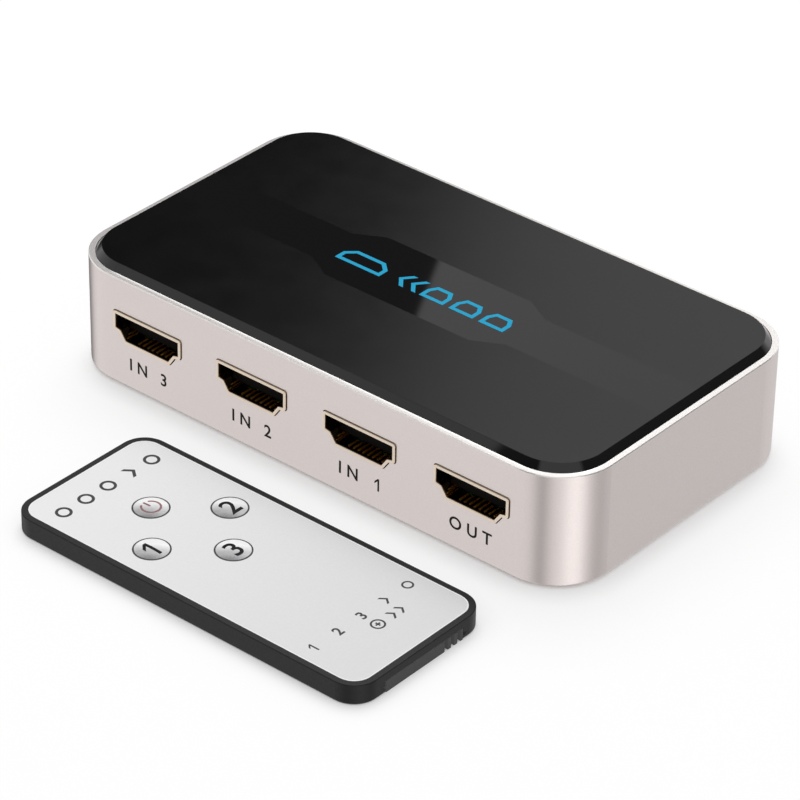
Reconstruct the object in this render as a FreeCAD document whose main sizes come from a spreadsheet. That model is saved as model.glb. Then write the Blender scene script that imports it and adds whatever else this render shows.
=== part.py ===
"""Three-input, one-output video switch box with its flat card remote.

Millimetres, +Z up.  The origin lies on the surface that the switch stands on, under the middle of
its housing.  X runs along the side with the four sockets, and that side faces -Y.  The card remote
lies on the same surface in front of the sockets.
"""
import FreeCAD, Part
import math
import os

import Sketcher

SIZES = {
    # Housing of the switch
    "body_length": 106.6, "body_width": 60.35, "body_height": 20.3, "corner_radius": 10.3,
    "wall": 1.6, "deck": 1.4, "lower_edge_round": 0.5, "rim_width": 1.12, "rim_bevel": 0.12,
    "boss_radius": 3.3, "boss_inset": 3.2,
    # Glossy top panel in its seat
    "panel_seat": 1.0, "panel_gap": 0.1, "panel_rise": 1.2, "panel_bevel": 1.0, "tape_thickness": 0.15,
    "tape_inset": 0.6,
    # Bottom cover, its screws and its feet
    "cover_thickness": 1.6, "cover_gap": 0.15, "foot_proud": 0.5, "foot_thickness": 1.1,
    "foot_radius": 4.0, "foot_gap": 0.1, "foot_end_margin": 17.3, "foot_side_margin": 10.4,
    "cover_screw_radius": 1.25, "cover_screw_head": 2.4, "cover_screw_length": 7.0, "screw_gap": 0.05,
    "drive_width": 0.5, "drive_depth": 0.6,
    # Main board and what holds it
    "board_end_gap": 10.3, "board_front_gap": 0.8, "board_back_gap": 2.8, "board_thickness": 1.6,
    "board_corner": 1.5, "post_radius": 2.6, "post_inset": 6.5, "board_hole_gap": 0.35,
    "board_screw_radius": 1.15, "board_screw_head": 2.2, "board_screw_head_height": 1.4,
    "board_screw_length": 5.6, "tip_gap": 0.5,
    # Sockets: the opening takes the plug, the sheet is folded round it
    "socket_end_margin": 19.01, "socket_base": 8.5, "socket_standoff": 0.3, "socket_proud": 0.25,
    "socket_width": 14.0, "socket_height": 4.55, "socket_foot_width": 9.5, "socket_notch_width": 11.8,
    "socket_notch_height": 1.65, "socket_side_height": 1.9, "socket_sheet": 0.5, "socket_gap": 0.15,
    "socket_depth": 11.0, "socket_back": 3.4, "leg_length": 1.6, "leg_first": 3.6, "leg_second": 8.4,
    "leg_root": 1.0, "leg_reach": 0.6, "leg_gap": 0.2,
    "finger_width": 1.6, "finger_offset": 2.9, "finger_start": 3.4, "finger_end": 7.2,
    "finger_thickness": 0.25, "finger_bow": 0.4, "finger_slit": 0.35,
    # Tongue and its contacts
    "tongue_width": 11.2, "tongue_thickness": 1.7, "tongue_set_back": 2.0, "tongue_base": 1.35,
    "contact_pitch": 1.0, "contact_width": 0.3, "contact_thickness": 0.15, "contact_set_back": 0.35,
    "contact_overhang": 0.6, "contact_foot": 1.0,
    # Select button and its switch on the back
    "button_end_margin": 19.3, "button_length": 8.0, "button_height": 4.0, "button_gap": 0.12,
    "button_proud": 0.9, "button_flange": 1.0, "button_flange_thickness": 0.8, "button_travel": 0.4,
    "key_axis_height": 3.6, "stop_gap": 0.05,
    "tact_length": 6.0, "tact_depth": 3.6, "tact_height": 6.2,
    "plunger_radius": 1.6, "plunger_gap": 0.1, "plunger_inside": 0.8, "tact_to_wall": 5.2,
    # Indicators, infrared eye and power jack on the back
    "led_x": -12.0, "led_pitch": 6.0, "led_radius": 1.0, "led_gap": 0.08, "led_length": 6.2,
    "led_bevel": 0.25,
    "led_holder_depth": 3.4, "led_holder_margin": 1.6, "led_proud": 0.3,
    "eye_x": 9.0, "window_radius": 2.6, "window_flange": 0.9, "window_flange_thickness": 0.8,
    "window_gap": 0.08, "window_proud": 0.2, "eye_width": 5.8, "eye_depth": 3.0, "eye_height": 6.6,
    "eye_lens": 2.0, "eye_to_window": 0.4, "eye_leg": 0.5, "eye_leg_pitch": 1.8,
    "jack_end_margin": 16.3, "jack_width": 7.4, "jack_depth": 10.4, "jack_height": 7.4, "jack_barrel": 3.1,
    "jack_gap": 0.1, "jack_bore": 1.85, "jack_bore_depth": 8.6, "jack_pin": 0.65, "jack_pin_set_back": 1.0,
    "jack_terminal_width": 1.6, "jack_terminal_thickness": 0.4, "jack_terminal_pitch": 4.4,
    "jack_terminal_inset": 1.0,
    # Parts soldered to the main board
    "chip_size": 10.0, "chip_thickness": 1.4, "chip_standoff": 0.1, "chip_leads": 12, "lead_pitch": 0.7,
    "lead_width": 0.3, "lead_thickness": 0.15, "lead_reach": 1.0,
    "controller_x": -24.0, "controller_y": 6.0, "controller_length": 9.9, "controller_width": 3.9,
    "controller_thickness": 1.5, "controller_leads": 8, "controller_lead_pitch": 1.27,
    "regulator_x": 27.0, "regulator_y": 9.0, "regulator_length": 6.5, "regulator_width": 3.5,
    "regulator_thickness": 1.6,
    "can_x": 27.0, "can_y": -1.0, "can_pitch": 8.0, "can_radius": 2.5, "can_height": 5.4, "can_base": 5.3,
    "can_base_thickness": 0.8,
    "passive_length": 1.6, "passive_width": 0.8, "passive_thickness": 0.5, "passive_count": 6,
    "passive_pitch": 2.0, "passive_y": -12.5,
    # Card remote
    "remote_x": 11.2, "remote_y": -56.68, "remote_length": 72.0, "remote_width": 30.4,
    "remote_corner": 4.4, "remote_rim": 1.1, "remote_edge_round": 0.4, "remote_top_round": 0.15,
    "overlay_thickness": 0.3, "overlay_gap": 0.05, "remote_deck": 0.55, "remote_floor": 0.6,
    "remote_wall": 1.4, "rib_between": 3.0,
    "remote_board_thickness": 0.6, "board_rest": 0.5, "board_rest_width": 0.7, "remote_board_gap": 0.2,
    "dome_height": 0.25, "dome_radius": 2.0,
    "key_radius": 2.8, "key_gap": 0.1, "key_flange": 0.5, "key_flange_thickness": 0.4,
    "key_flange_gap": 0.12, "key_crown": 0.2, "key_travel": 0.25,
    "power_key_x": -19.95, "power_key_y": 0.05, "one_key_x": -12.05, "one_key_y": -8.15,
    "two_key_x": -10.7, "two_key_y": 8.25, "three_key_x": -2.45, "three_key_y": 0.05,
    "diode_radius": 0.9, "diode_gap": 0.1, "diode_length": 4.6, "diode_proud": 0.5,
    "code_chip_x": 2.2, "code_chip_y": 8.6, "code_chip_length": 4.9, "code_chip_width": 3.9,
    "code_chip_thickness": 0.6,
    # Battery tray, its coin cell and the contacts
    "cell_diameter": 16.0, "cell_thickness": 1.6, "cell_gap": 0.15, "cell_cap_radius": 6.4,
    "cell_cap_height": 0.2,
    "tray_y": 0.4, "tray_width": 17.8, "tray_lip": 2.6, "tray_rear": 1.6, "tray_floor": 0.35,
    "tray_lift": 0.05, "tray_front_height": 2.0, "tray_top_gap": 0.2, "tray_side_gap": 0.25,
    "tray_window": 5.0,
    "rail_height": 0.4, "rail_reach": 0.5, "rail_base": 0.8, "rail_gap": 0.1,
    "grip_width": 0.8, "grip_depth": 0.9, "grip_pitch": 1.5, "grip_count": 3, "grip_margin": 0.9,
    "contact_strip": 0.2, "contact_strip_width": 2.4, "contact_strip_offset": 3.6, "strip_gap": 0.03,
    "strip_foot": 2.0, "strip_channel": 0.3,
}


class Size:
    """A number together with the expression that gives it from the sheet."""

    def __init__(self, number, text):
        self.number = float(number)
        self.text = text

    def __add__(self, other):
        other = as_size(other)
        return Size(self.number + other.number, f"({self.text} + {other.text})")

    def __radd__(self, other):
        return as_size(other) + self

    def __sub__(self, other):
        other = as_size(other)
        return Size(self.number - other.number, f"({self.text} - {other.text})")

    def __rsub__(self, other):
        return as_size(other) - self

    def __mul__(self, other):
        other = as_size(other)
        return Size(self.number * other.number, f"({self.text} * {other.text})")

    def __rmul__(self, other):
        return as_size(other) * self

    def __truediv__(self, other):
        other = as_size(other)
        return Size(self.number / other.number, f"({self.text} / {other.text})")

    def __neg__(self):
        return Size(-self.number, f"(0 - {self.text})")

    def __float__(self):
        return self.number

    def root(self):
        """Square root."""
        return Size(math.sqrt(self.number), f"sqrt({self.text})")


def as_size(value):
    """Return value as a Size, so that plain numbers mix with sheet values."""
    if isinstance(value, Size):
        return value
    return Size(value, f"({value})")


class Sheet:
    """The driving dimensions, read by name as Size objects."""

    def __init__(self, document, sizes):
        self.cells = document.addObject("Spreadsheet::Sheet", "sizes")
        for row, (alias, number) in enumerate(sizes.items(), start=1):
            self.cells.set(f"A{row}", alias.replace("_", " "))
            self.cells.set(f"B{row}", str(number))
            self.cells.setAlias(f"B{row}", alias)
        document.recompute()
        self.names = set(sizes)

    def __getattr__(self, alias):
        if alias not in self.names:
            raise AttributeError(alias)
        return Size(self.cells.get(alias), f"sizes.{alias}")


document = FreeCAD.newDocument("video_switch")
d = Sheet(document, SIZES)
nodes = []

X_AXIS = FreeCAD.Vector(1, 0, 0)
Y_AXIS = FreeCAD.Vector(0, 1, 0)
Z_AXIS = FreeCAD.Vector(0, 0, 1)
UPRIGHT = FreeCAD.Rotation(X_AXIS, 90)
SIDEWAYS = FreeCAD.Rotation(FreeCAD.Vector(1, 1, 1), 120)
TURNS = {"Z": FreeCAD.Rotation(), "Y": FreeCAD.Rotation(X_AXIS, -90), "X": FreeCAD.Rotation(Y_AXIS, 90)}


# Helpers that bind objects to the sheet

def bind(item, path, size):
    """Bind one property of item to a size."""
    item.setExpression(path, as_size(size).text)


def put(item, x=0, y=0, z=0):
    """Bind the place of item."""
    for axis, size in zip("xyz", (x, y, z)):
        bind(item, f"Placement.Base.{axis}", size)
    return item


def node(item, label):
    """Give item its own name and list it among the sub-parts."""
    item.Label = label
    nodes.append(item)
    return item


def box(length, width, height, x=0, y=0, z=0):
    """A block whose lowest corner is at x, y, z."""
    item = document.addObject("Part::Box", "block")
    bind(item, "Length", length)
    bind(item, "Width", width)
    bind(item, "Height", height)
    return put(item, x, y, z)


def centred_box(length, width, height, x=0, y=0, z=0):
    """A block centred on x and y, standing on z."""
    return box(length, width, height, x - as_size(length) / 2, y - as_size(width) / 2, z)


def cylinder(radius, height, x=0, y=0, z=0, along="Z"):
    """A cylinder that starts at x, y, z and runs along Z, or along +Y or +X."""
    item = document.addObject("Part::Cylinder", "round")
    bind(item, "Radius", radius)
    bind(item, "Height", height)
    item.Placement = FreeCAD.Placement(FreeCAD.Vector(), TURNS[along])
    return put(item, x, y, z)


def cone(radius_low, radius_high, height, x=0, y=0, z=0, along="Z"):
    """A cone frustum that starts at x, y, z and runs along Z, or along +Y."""
    item = document.addObject("Part::Cone", "taper")
    bind(item, "Radius1", radius_low)
    bind(item, "Radius2", radius_high)
    bind(item, "Height", height)
    item.Placement = FreeCAD.Placement(FreeCAD.Vector(), TURNS[along])
    return put(item, x, y, z)


def sphere(radius, x=0, y=0, z=0):
    """A ball about x, y, z."""
    item = document.addObject("Part::Sphere", "ball")
    bind(item, "Radius", radius)
    return put(item, x, y, z)


def fuse(*shapes):
    """One solid from several that meet."""
    item = document.addObject("Part::MultiFuse", "joined")
    item.Shapes = list(shapes)
    item.Refine = True
    return item


def cut(base, *tools):
    """The base less the tools."""
    item = document.addObject("Part::Cut", "cut")
    item.Base = base
    item.Tool = tools[0] if len(tools) == 1 else group(*tools)
    item.Refine = True
    return item


def common(base, tool):
    """What base and tool share."""
    item = document.addObject("Part::Common", "shared")
    item.Base = base
    item.Tool = tool
    return item


def group(*items):
    """Several separate solids as one object."""
    item = document.addObject("Part::Compound", "set")
    item.Links = list(items)
    return item


def placed(master, x=0, y=0, z=0):
    """A copy of master, moved by x, y, z."""
    return put(group(master), x, y, z)


def extrude(profile, length, direction):
    """A solid swept from a closed profile, straight along direction."""
    item = document.addObject("Part::Extrusion", "swept")
    item.Base = profile
    item.DirMode = "Custom"
    item.Dir = direction
    item.Solid = True
    bind(item, "LengthFwd", length)
    return item


def offset(profile, distance):
    """The profile grown by distance, with its outer corners rounded."""
    item = document.addObject("Part::Offset2D", "grown")
    item.Source = profile
    item.Join = "Arc"
    bind(item, "Value", distance)
    return item


def free_sketch(rotation, x=0, y=0, z=0):
    """A sketch that stands by itself, turned by rotation and placed at x, y, z."""
    item = document.addObject("Sketcher::SketchObject", "outline")
    item.Placement = FreeCAD.Placement(FreeCAD.Vector(), rotation)
    return put(item, x, y, z)


def body_sketch(body, height):
    """A sketch of a body, level at a height."""
    item = body.newObject("Sketcher::SketchObject", "outline")
    plane = next(f for f in body.Origin.OriginFeatures if f.Role == "XY_Plane")
    item.AttachmentSupport = [(plane, "")]
    item.MapMode = "FlatFace"
    bind(item, "AttachmentOffset.Base.z", height)
    return item


def fix_point(sketch, geometry, point, x, y):
    """Hold one point of the sketch at x, y from its origin."""
    for kind, size in (("DistanceX", x), ("DistanceY", y)):
        size = as_size(size)
        index = sketch.addConstraint(Sketcher.Constraint(kind, -1, 1, geometry, point, size.number))
        bind(sketch, f"Constraints[{index}]", size)


def draw_polygon(sketch, points):
    """A closed outline through points, each held by its own two sizes."""
    corners = [FreeCAD.Vector(float(as_size(x)), float(as_size(y)), 0) for x, y in points]
    count = len(points)
    first = sketch.GeometryCount
    for i in range(count):
        sketch.addGeometry(Part.LineSegment(corners[i], corners[(i + 1) % count]), False)
    for i in range(count):
        after = first + (i + 1) % count
        sketch.addConstraint(Sketcher.Constraint("Coincident", first + i, 2, after, 1))
        fix_point(sketch, first + i, 1, *points[i])
    return sketch


def draw_rectangle(sketch, length, width, x=0, y=0):
    """A rectangle centred on x, y."""
    dx, dy = as_size(length) / 2, as_size(width) / 2
    return draw_polygon(sketch, [(x - dx, y - dy), (x + dx, y - dy), (x + dx, y + dy), (x - dx, y + dy)])


def draw_circle(sketch, radius, x=0, y=0):
    """A circle about x, y."""
    radius = as_size(radius)
    centre = FreeCAD.Vector(float(as_size(x)), float(as_size(y)), 0)
    index = sketch.addGeometry(Part.Circle(centre, Z_AXIS, radius.number), False)
    fix_point(sketch, index, 3, x, y)
    row = sketch.addConstraint(Sketcher.Constraint("Radius", index, radius.number))
    bind(sketch, f"Constraints[{row}]", radius)
    return sketch


def draw_rounded(sketch, length, width, radius, x=0, y=0):
    """A rectangle centred on x, y with four round corners."""
    radius = as_size(radius)
    dx, dy = as_size(length) / 2, as_size(width) / 2
    corners = ((1, -1, -90), (1, 1, 0), (-1, 1, 90), (-1, -1, 180))
    ends = []
    arcs = []
    for side_x, side_y, start in corners:
        centre_x = x + side_x * (dx - radius)
        centre_y = y + side_y * (dy - radius)
        along_x = (centre_x + side_x * radius, centre_y)
        along_y = (centre_x, centre_y + side_y * radius)
        ends.append((along_x, along_y) if start in (0, 180) else (along_y, along_x))
        middle = FreeCAD.Vector(float(centre_x), float(centre_y), 0)
        circle = Part.Circle(middle, Z_AXIS, radius.number)
        low = math.radians(start)
        arcs.append(sketch.addGeometry(Part.ArcOfCircle(circle, low, low + math.pi / 2), False))
    for i in range(4):
        begin, finish = ends[i][1], ends[(i + 1) % 4][0]
        points = [FreeCAD.Vector(float(px), float(py), 0) for px, py in (begin, finish)]
        line = sketch.addGeometry(Part.LineSegment(*points), False)
        sketch.addConstraint(Sketcher.Constraint("Coincident", arcs[i], 2, line, 1))
        sketch.addConstraint(Sketcher.Constraint("Coincident", line, 2, arcs[(i + 1) % 4], 1))
        fix_point(sketch, line, 1, *begin)
        fix_point(sketch, line, 2, *finish)
        row = sketch.addConstraint(Sketcher.Constraint("Radius", arcs[i], radius.number))
        bind(sketch, f"Constraints[{row}]", radius)
    return sketch


def new_body(name):
    """An empty body."""
    return document.addObject("PartDesign::Body", name)


def pad(body, sketch, length, downwards=False):
    """Add the sketch's outline, upwards unless told otherwise."""
    feature = body.newObject("PartDesign::Pad", "pad")
    feature.Profile = sketch
    feature.Reversed = downwards
    bind(feature, "Length", length)
    sketch.Visibility = False
    return feature


def pocket(body, sketch, length, upwards=False):
    """Cut the sketch's outline, downwards unless told otherwise."""
    feature = body.newObject("PartDesign::Pocket", "pocket")
    feature.Profile = sketch
    feature.Reversed = upwards
    bind(feature, "Length", length)
    return feature


def level_edges(feature, height):
    """Names of the edges that lie level at a height."""
    document.recompute()
    names = []
    for number, edge in enumerate(feature.Shape.Edges, start=1):
        limits = edge.BoundBox
        if abs(limits.ZMin - float(height)) < 1e-6 and abs(limits.ZMax - float(height)) < 1e-6:
            names.append(f"Edge{number}")
    return names


def soften(body, kind, feature, height, size):
    """Round or bevel the level edges of the newest feature at a height."""
    names = level_edges(feature, height)
    item = body.newObject(f"PartDesign::{kind}", kind.lower())
    item.Base = (feature, names)
    bind(item, "Radius" if kind == "Fillet" else "Size", size)
    return item


# Heights and lines that several pieces share

under = d.foot_proud
rim = under + d.body_height
seat = rim - d.panel_seat
deck_under = seat - d.deck
cover_top = under + d.cover_thickness
front = -d.body_width / 2
back = d.body_width / 2
back_inside = back - d.wall
board_top = under + d.socket_base - d.socket_standoff
board_under = board_top - d.board_thickness
board_length = d.body_length - 2 * d.board_end_gap
board_back = back_inside - d.board_back_gap
board_front = front + d.wall + d.board_front_gap
key_axis = board_top + d.key_axis_height
boss_x = d.body_length / 2 - d.corner_radius + (d.corner_radius - d.wall - d.boss_inset) * 0.70711
boss_y = d.body_width / 2 - d.corner_radius + (d.corner_radius - d.wall - d.boss_inset) * 0.70711
boss_places = [(sx * boss_x, sy * boss_y) for sx in (-1, 1) for sy in (-1, 1)]
foot_x = d.body_length / 2 - d.foot_end_margin
foot_y = d.body_width / 2 - d.foot_side_margin
socket_pitch = (d.body_length - 2 * d.socket_end_margin) / 3
button_x = d.button_end_margin - d.body_length / 2
jack_x = d.body_length / 2 - d.jack_end_margin
post_front = board_front + d.post_inset
post_back = board_back - d.post_inset
post_places = [(sx * socket_pitch, y) for sx in (-1, 1) for y in (post_front, post_back)]
socket_places = [socket_pitch * step for step in (-1.5, -0.5, 0.5, 1.5)]
mouth = front - d.socket_proud
socket_floor = under + d.socket_base + d.socket_sheet
jack_rear = back_inside - d.stop_gap - d.jack_depth
terminal_places = [
    (jack_x + step * d.jack_terminal_pitch / 2, jack_rear + d.jack_terminal_inset * (2 + step * step))
    for step in (-1, 0, 1)]


# Socket master, drawn about its own mouth: local y runs inwards, z up from the opening's floor

def socket_profile():
    """The opening that takes the plug: wide above, stepped in to a narrow floor."""
    half_foot, half_notch = d.socket_foot_width / 2, d.socket_notch_width / 2
    half = d.socket_width / 2
    right = [(half_foot, as_size(0)), (half_notch, d.socket_notch_height),
             (half, d.socket_side_height), (half, d.socket_height)]
    left = [(-x, y) for x, y in reversed(right)]
    return draw_polygon(free_sketch(UPRIGHT), right + left)


def make_finger(above):
    """Spring strip that leans from the sheet into the opening, above or below the plug."""
    base = d.socket_height if above else as_size(0)
    inwards = -1 if above else 1
    outer = base - inwards * (d.socket_sheet / 2 + d.finger_thickness / 2)
    tip = base + inwards * d.finger_bow
    root = d.finger_end + d.socket_sheet / 2
    points = [(root, outer), (root, outer + inwards * d.finger_thickness),
              (d.finger_start, tip), (d.finger_start, tip - inwards * d.finger_thickness)]
    sketch = draw_polygon(free_sketch(SIDEWAYS, x=-d.finger_width / 2), points)
    return extrude(sketch, d.finger_width, X_AXIS)


def make_shell():
    """Folded sheet tube with four spring fingers and four solder legs."""
    opening = socket_profile()
    tube = cut(extrude(offset(opening, d.socket_sheet), d.socket_depth, Y_AXIS),
               extrude(opening, d.socket_depth, Y_AXIS))
    window_width = d.finger_width + 2 * d.finger_slit
    window_length = d.finger_end - d.finger_start + d.finger_slit
    windows = []
    fingers = []
    for above in (True, False):
        level = d.socket_height if above else -d.socket_sheet
        strip = make_finger(above)
        for side in (-1, 1):
            windows.append(box(window_width, window_length, d.socket_sheet,
                               side * d.finger_offset - window_width / 2,
                               d.finger_start - d.finger_slit, level))
            fingers.append(placed(strip, x=side * d.finger_offset))
    legs = []
    leg_drop = d.socket_sheet + d.socket_standoff + d.board_thickness + d.leg_reach
    for side in (-1, 1):
        outer_face = d.socket_width / 2 + d.socket_sheet
        x = side * outer_face - (d.socket_sheet if side > 0 else 0)
        for y in (d.leg_first, d.leg_second):
            legs.append(box(d.socket_sheet, d.leg_length, leg_drop + d.socket_side_height + d.leg_root,
                            x, y, -leg_drop))
    return fuse(cut(tube, *windows), *fingers, *legs)


def contact_profile(level, upper):
    """Side view of one contact: along the tongue, down behind it and out to its solder foot."""
    thick = d.contact_thickness
    start = d.tongue_set_back + d.contact_set_back
    bend = d.socket_depth + d.contact_overhang
    end = bend + thick + d.contact_foot
    board = -d.socket_sheet - d.socket_standoff
    high = level + thick if upper else level
    low = high - thick
    return [(start, high), (bend + thick, high), (bend + thick, board + thick), (end, board + thick),
            (end, board), (bend, board), (bend, low), (start, low)]


def make_contacts():
    """Ten contacts on top of the tongue and nine below, half a pitch apart."""
    strips = []
    for count, upper in ((10, True), (9, False)):
        level = d.tongue_base + d.tongue_thickness if upper else d.tongue_base
        sketch = draw_polygon(free_sketch(SIDEWAYS, x=-d.contact_width / 2), contact_profile(level, upper))
        strip = extrude(sketch, d.contact_width, X_AXIS)
        for number in range(count):
            strips.append(placed(strip, x=d.contact_pitch * (number - (count - 1) / 2)))
    return group(*strips)


def make_insulator(contacts):
    """Moulded block at the back of the shell with the tongue that carries the contacts."""
    block = extrude(socket_profile(), d.socket_back, Y_AXIS)
    put(block, y=d.socket_depth - d.socket_back)
    tongue = centred_box(d.tongue_width, d.socket_depth - d.tongue_set_back, d.tongue_thickness,
                         0, (d.socket_depth + d.tongue_set_back) / 2, d.tongue_base)
    return cut(fuse(block, tongue), contacts)


shell_master = make_shell()
contacts_master = make_contacts()
insulator_master = make_insulator(contacts_master)
aperture_master = extrude(offset(socket_profile(), d.socket_sheet + d.socket_gap),
                          d.socket_proud + 2 * d.wall, Y_AXIS)
for number, x in enumerate(socket_places, start=1):
    node(placed(shell_master, x, mouth, socket_floor), f"socket_shell_{number}")
    node(placed(insulator_master, x, mouth, socket_floor), f"socket_insulator_{number}")
    node(placed(contacts_master, x, mouth, socket_floor), f"socket_contacts_{number}")


# Housing: one deep shell, open below, with a seat for the panel on top

def make_housing():
    """The silver shell with its screw bosses and the openings in its front and back."""
    shell = new_body("housing_shell")
    outer = draw_rounded(body_sketch(shell, under), d.body_length, d.body_width, d.corner_radius)
    solid = pad(shell, outer, d.body_height)
    lower = soften(shell, "Fillet", solid, under, d.lower_edge_round)
    soften(shell, "Chamfer", lower, rim, d.rim_bevel)
    inside = draw_rounded(body_sketch(shell, under), d.body_length - 2 * d.wall,
                          d.body_width - 2 * d.wall, d.corner_radius - d.wall)
    pocket(shell, inside, deck_under - under, upwards=True)
    recess = draw_rounded(body_sketch(shell, rim), d.body_length - 2 * d.rim_width,
                          d.body_width - 2 * d.rim_width, d.corner_radius - d.rim_width)
    pocket(shell, recess, d.panel_seat)
    bosses = body_sketch(shell, cover_top)
    pilots = body_sketch(shell, cover_top)
    for x, y in boss_places:
        draw_circle(bosses, d.boss_radius, x, y)
        draw_circle(pilots, d.cover_screw_radius + d.screw_gap, x, y)
    pad(shell, bosses, deck_under - cover_top)
    pocket(shell, pilots, d.cover_screw_length - d.cover_thickness + d.tip_gap, upwards=True)
    openings = [placed(aperture_master, x, mouth, socket_floor) for x in socket_places]
    depth = 2 * d.wall
    start = back - d.wall - d.wall / 2
    button = free_sketch(UPRIGHT, y=start)
    draw_rounded(button, d.button_length + 2 * d.button_gap, d.button_height + 2 * d.button_gap,
                 d.button_height / 2, button_x, key_axis)
    openings.append(extrude(button, depth, Y_AXIS))
    for step in (-1, 0, 1):
        openings.append(cylinder(d.led_radius + d.led_gap, depth, d.led_x + step * d.led_pitch, start,
                                 key_axis, "Y"))
    openings.append(cylinder(d.window_radius + d.window_gap, depth, d.eye_x, start, key_axis, "Y"))
    openings.append(cylinder(d.jack_barrel + d.jack_gap, depth, jack_x, start, key_axis, "Y"))
    return cut(shell, *openings)


node(make_housing(), "housing")


# Top panel, glossy, bevelled all round, taped into its seat

def make_panel():
    """Slab in the seat with a loft above the rim for the bevel."""
    panel = new_body("top_panel")
    inset = d.rim_width + d.panel_gap
    sizes = (d.body_length - 2 * inset, d.body_width - 2 * inset, d.corner_radius - inset)
    base = draw_rounded(body_sketch(panel, seat + d.tape_thickness), *sizes)
    pad(panel, base, rim - seat - d.tape_thickness)
    foot = draw_rounded(body_sketch(panel, rim), *sizes)
    crown = draw_rounded(body_sketch(panel, rim + d.panel_rise), sizes[0] - 2 * d.panel_bevel,
                         sizes[1] - 2 * d.panel_bevel, sizes[2] - d.panel_bevel)
    bevel = panel.newObject("PartDesign::AdditiveLoft", "bevel")
    bevel.Profile = foot
    bevel.Sections = [crown]
    bevel.Ruled = True
    return panel


def make_tape():
    """Double-sided sheet that holds the panel in its seat."""
    tape = new_body("panel_tape")
    inset = d.rim_width + d.panel_gap + d.tape_inset
    outline = draw_rounded(body_sketch(tape, seat), d.body_length - 2 * inset, d.body_width - 2 * inset,
                           d.corner_radius - inset)
    pad(tape, outline, d.tape_thickness)
    return tape


node(make_panel(), "top_panel")
node(make_tape(), "panel_tape")


# Bottom cover with board posts, its screws and feet

def screw_master(radius, length, head_radius, head_height, flat):
    """A cross-recessed screw, point up, head below when flat, or head above on a pan."""
    if flat:
        head = cone(head_radius, radius, head_radius - radius)
        shank = cylinder(radius, length - (head_radius - radius), 0, 0, head_radius - radius)
        level = as_size(0)
    else:
        head = cylinder(head_radius, head_height)
        shank = cylinder(radius, length, 0, 0, -length)
        level = head_height - d.drive_depth
    reach = head_radius * 1.1
    slots = [centred_box(reach, d.drive_width, d.drive_depth, 0, 0, level),
             centred_box(d.drive_width, reach, d.drive_depth, 0, 0, level)]
    return cut(fuse(head, shank), *slots)


def make_cover():
    """Plate inside the lower edge with four posts, four countersinks and four foot seats."""
    plate = new_body("cover_plate")
    inset = d.wall + d.cover_gap
    outline = draw_rounded(body_sketch(plate, under), d.body_length - 2 * inset, d.body_width - 2 * inset,
                           d.corner_radius - inset)
    pad(plate, outline, d.cover_thickness)
    posts = body_sketch(plate, cover_top)
    holes = body_sketch(plate, board_under)
    for x, y in post_places:
        draw_circle(posts, d.post_radius, x, y)
        draw_circle(holes, d.board_screw_radius + d.screw_gap, x, y)
    pad(plate, posts, board_under - cover_top)
    pocket(plate, holes, d.board_screw_length - d.board_thickness + d.tip_gap)
    seats = body_sketch(plate, under)
    for sx in (-1, 1):
        for sy in (-1, 1):
            draw_circle(seats, d.foot_radius + d.foot_gap, sx * foot_x, sy * foot_y)
    pocket(plate, seats, d.foot_thickness - d.foot_proud, upwards=True)
    gap = d.screw_gap
    taper = d.cover_screw_head - d.cover_screw_radius
    sink = fuse(cone(d.cover_screw_head + gap, d.cover_screw_radius + gap, taper),
                cylinder(d.cover_screw_radius + gap, d.cover_thickness))
    return cut(plate, *[placed(sink, x, y, under) for x, y in boss_places])


node(make_cover(), "bottom_cover")
cover_screw = screw_master(d.cover_screw_radius, d.cover_screw_length, d.cover_screw_head, 0, True)
node(group(*[placed(cover_screw, x, y, under) for x, y in boss_places]), "cover_screws")
foot = cylinder(d.foot_radius, d.foot_thickness)
node(group(*[placed(foot, sx * foot_x, sy * foot_y) for sx in (-1, 1) for sy in (-1, 1)]),
     "rubber_feet")


# Main board and the parts soldered to it

def make_board():
    """Board with four post holes and slots for the legs of the sockets."""
    board = new_body("main_board")
    outline = draw_rounded(body_sketch(board, board_under), board_length, board_back - board_front,
                           d.board_corner, 0, (board_front + board_back) / 2)
    pad(board, outline, d.board_thickness)
    holes = body_sketch(board, board_top)
    for x, y in post_places:
        draw_circle(holes, d.board_screw_radius + d.board_hole_gap, x, y)
    leg_x = (d.socket_width + d.socket_sheet) / 2
    for socket_x in socket_places:
        for side in (-1, 1):
            for y in (d.leg_first, d.leg_second):
                draw_rectangle(holes, d.socket_sheet + 2 * d.leg_gap, d.leg_length + 2 * d.leg_gap,
                               socket_x + side * leg_x, mouth + y + d.leg_length / 2)
    for x, y in terminal_places:
        draw_rectangle(holes, d.jack_terminal_width + 2 * d.leg_gap,
                       d.jack_terminal_thickness + 2 * d.leg_gap, x, y)
    pocket(board, holes, d.board_thickness)
    return board


def gull_lead(reach, height):
    """One flat lead that leaves a package, drops and ends in a foot on the board."""
    thick = d.lead_thickness
    knee = reach * 0.4
    points = [(0, height), (knee + thick, height), (knee + thick, thick), (reach, thick), (reach, 0),
              (knee, 0), (knee, height - thick), (0, height - thick)]
    sketch = draw_polygon(free_sketch(SIDEWAYS, x=-d.lead_width / 2), points)
    return extrude(sketch, d.lead_width, X_AXIS)


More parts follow.
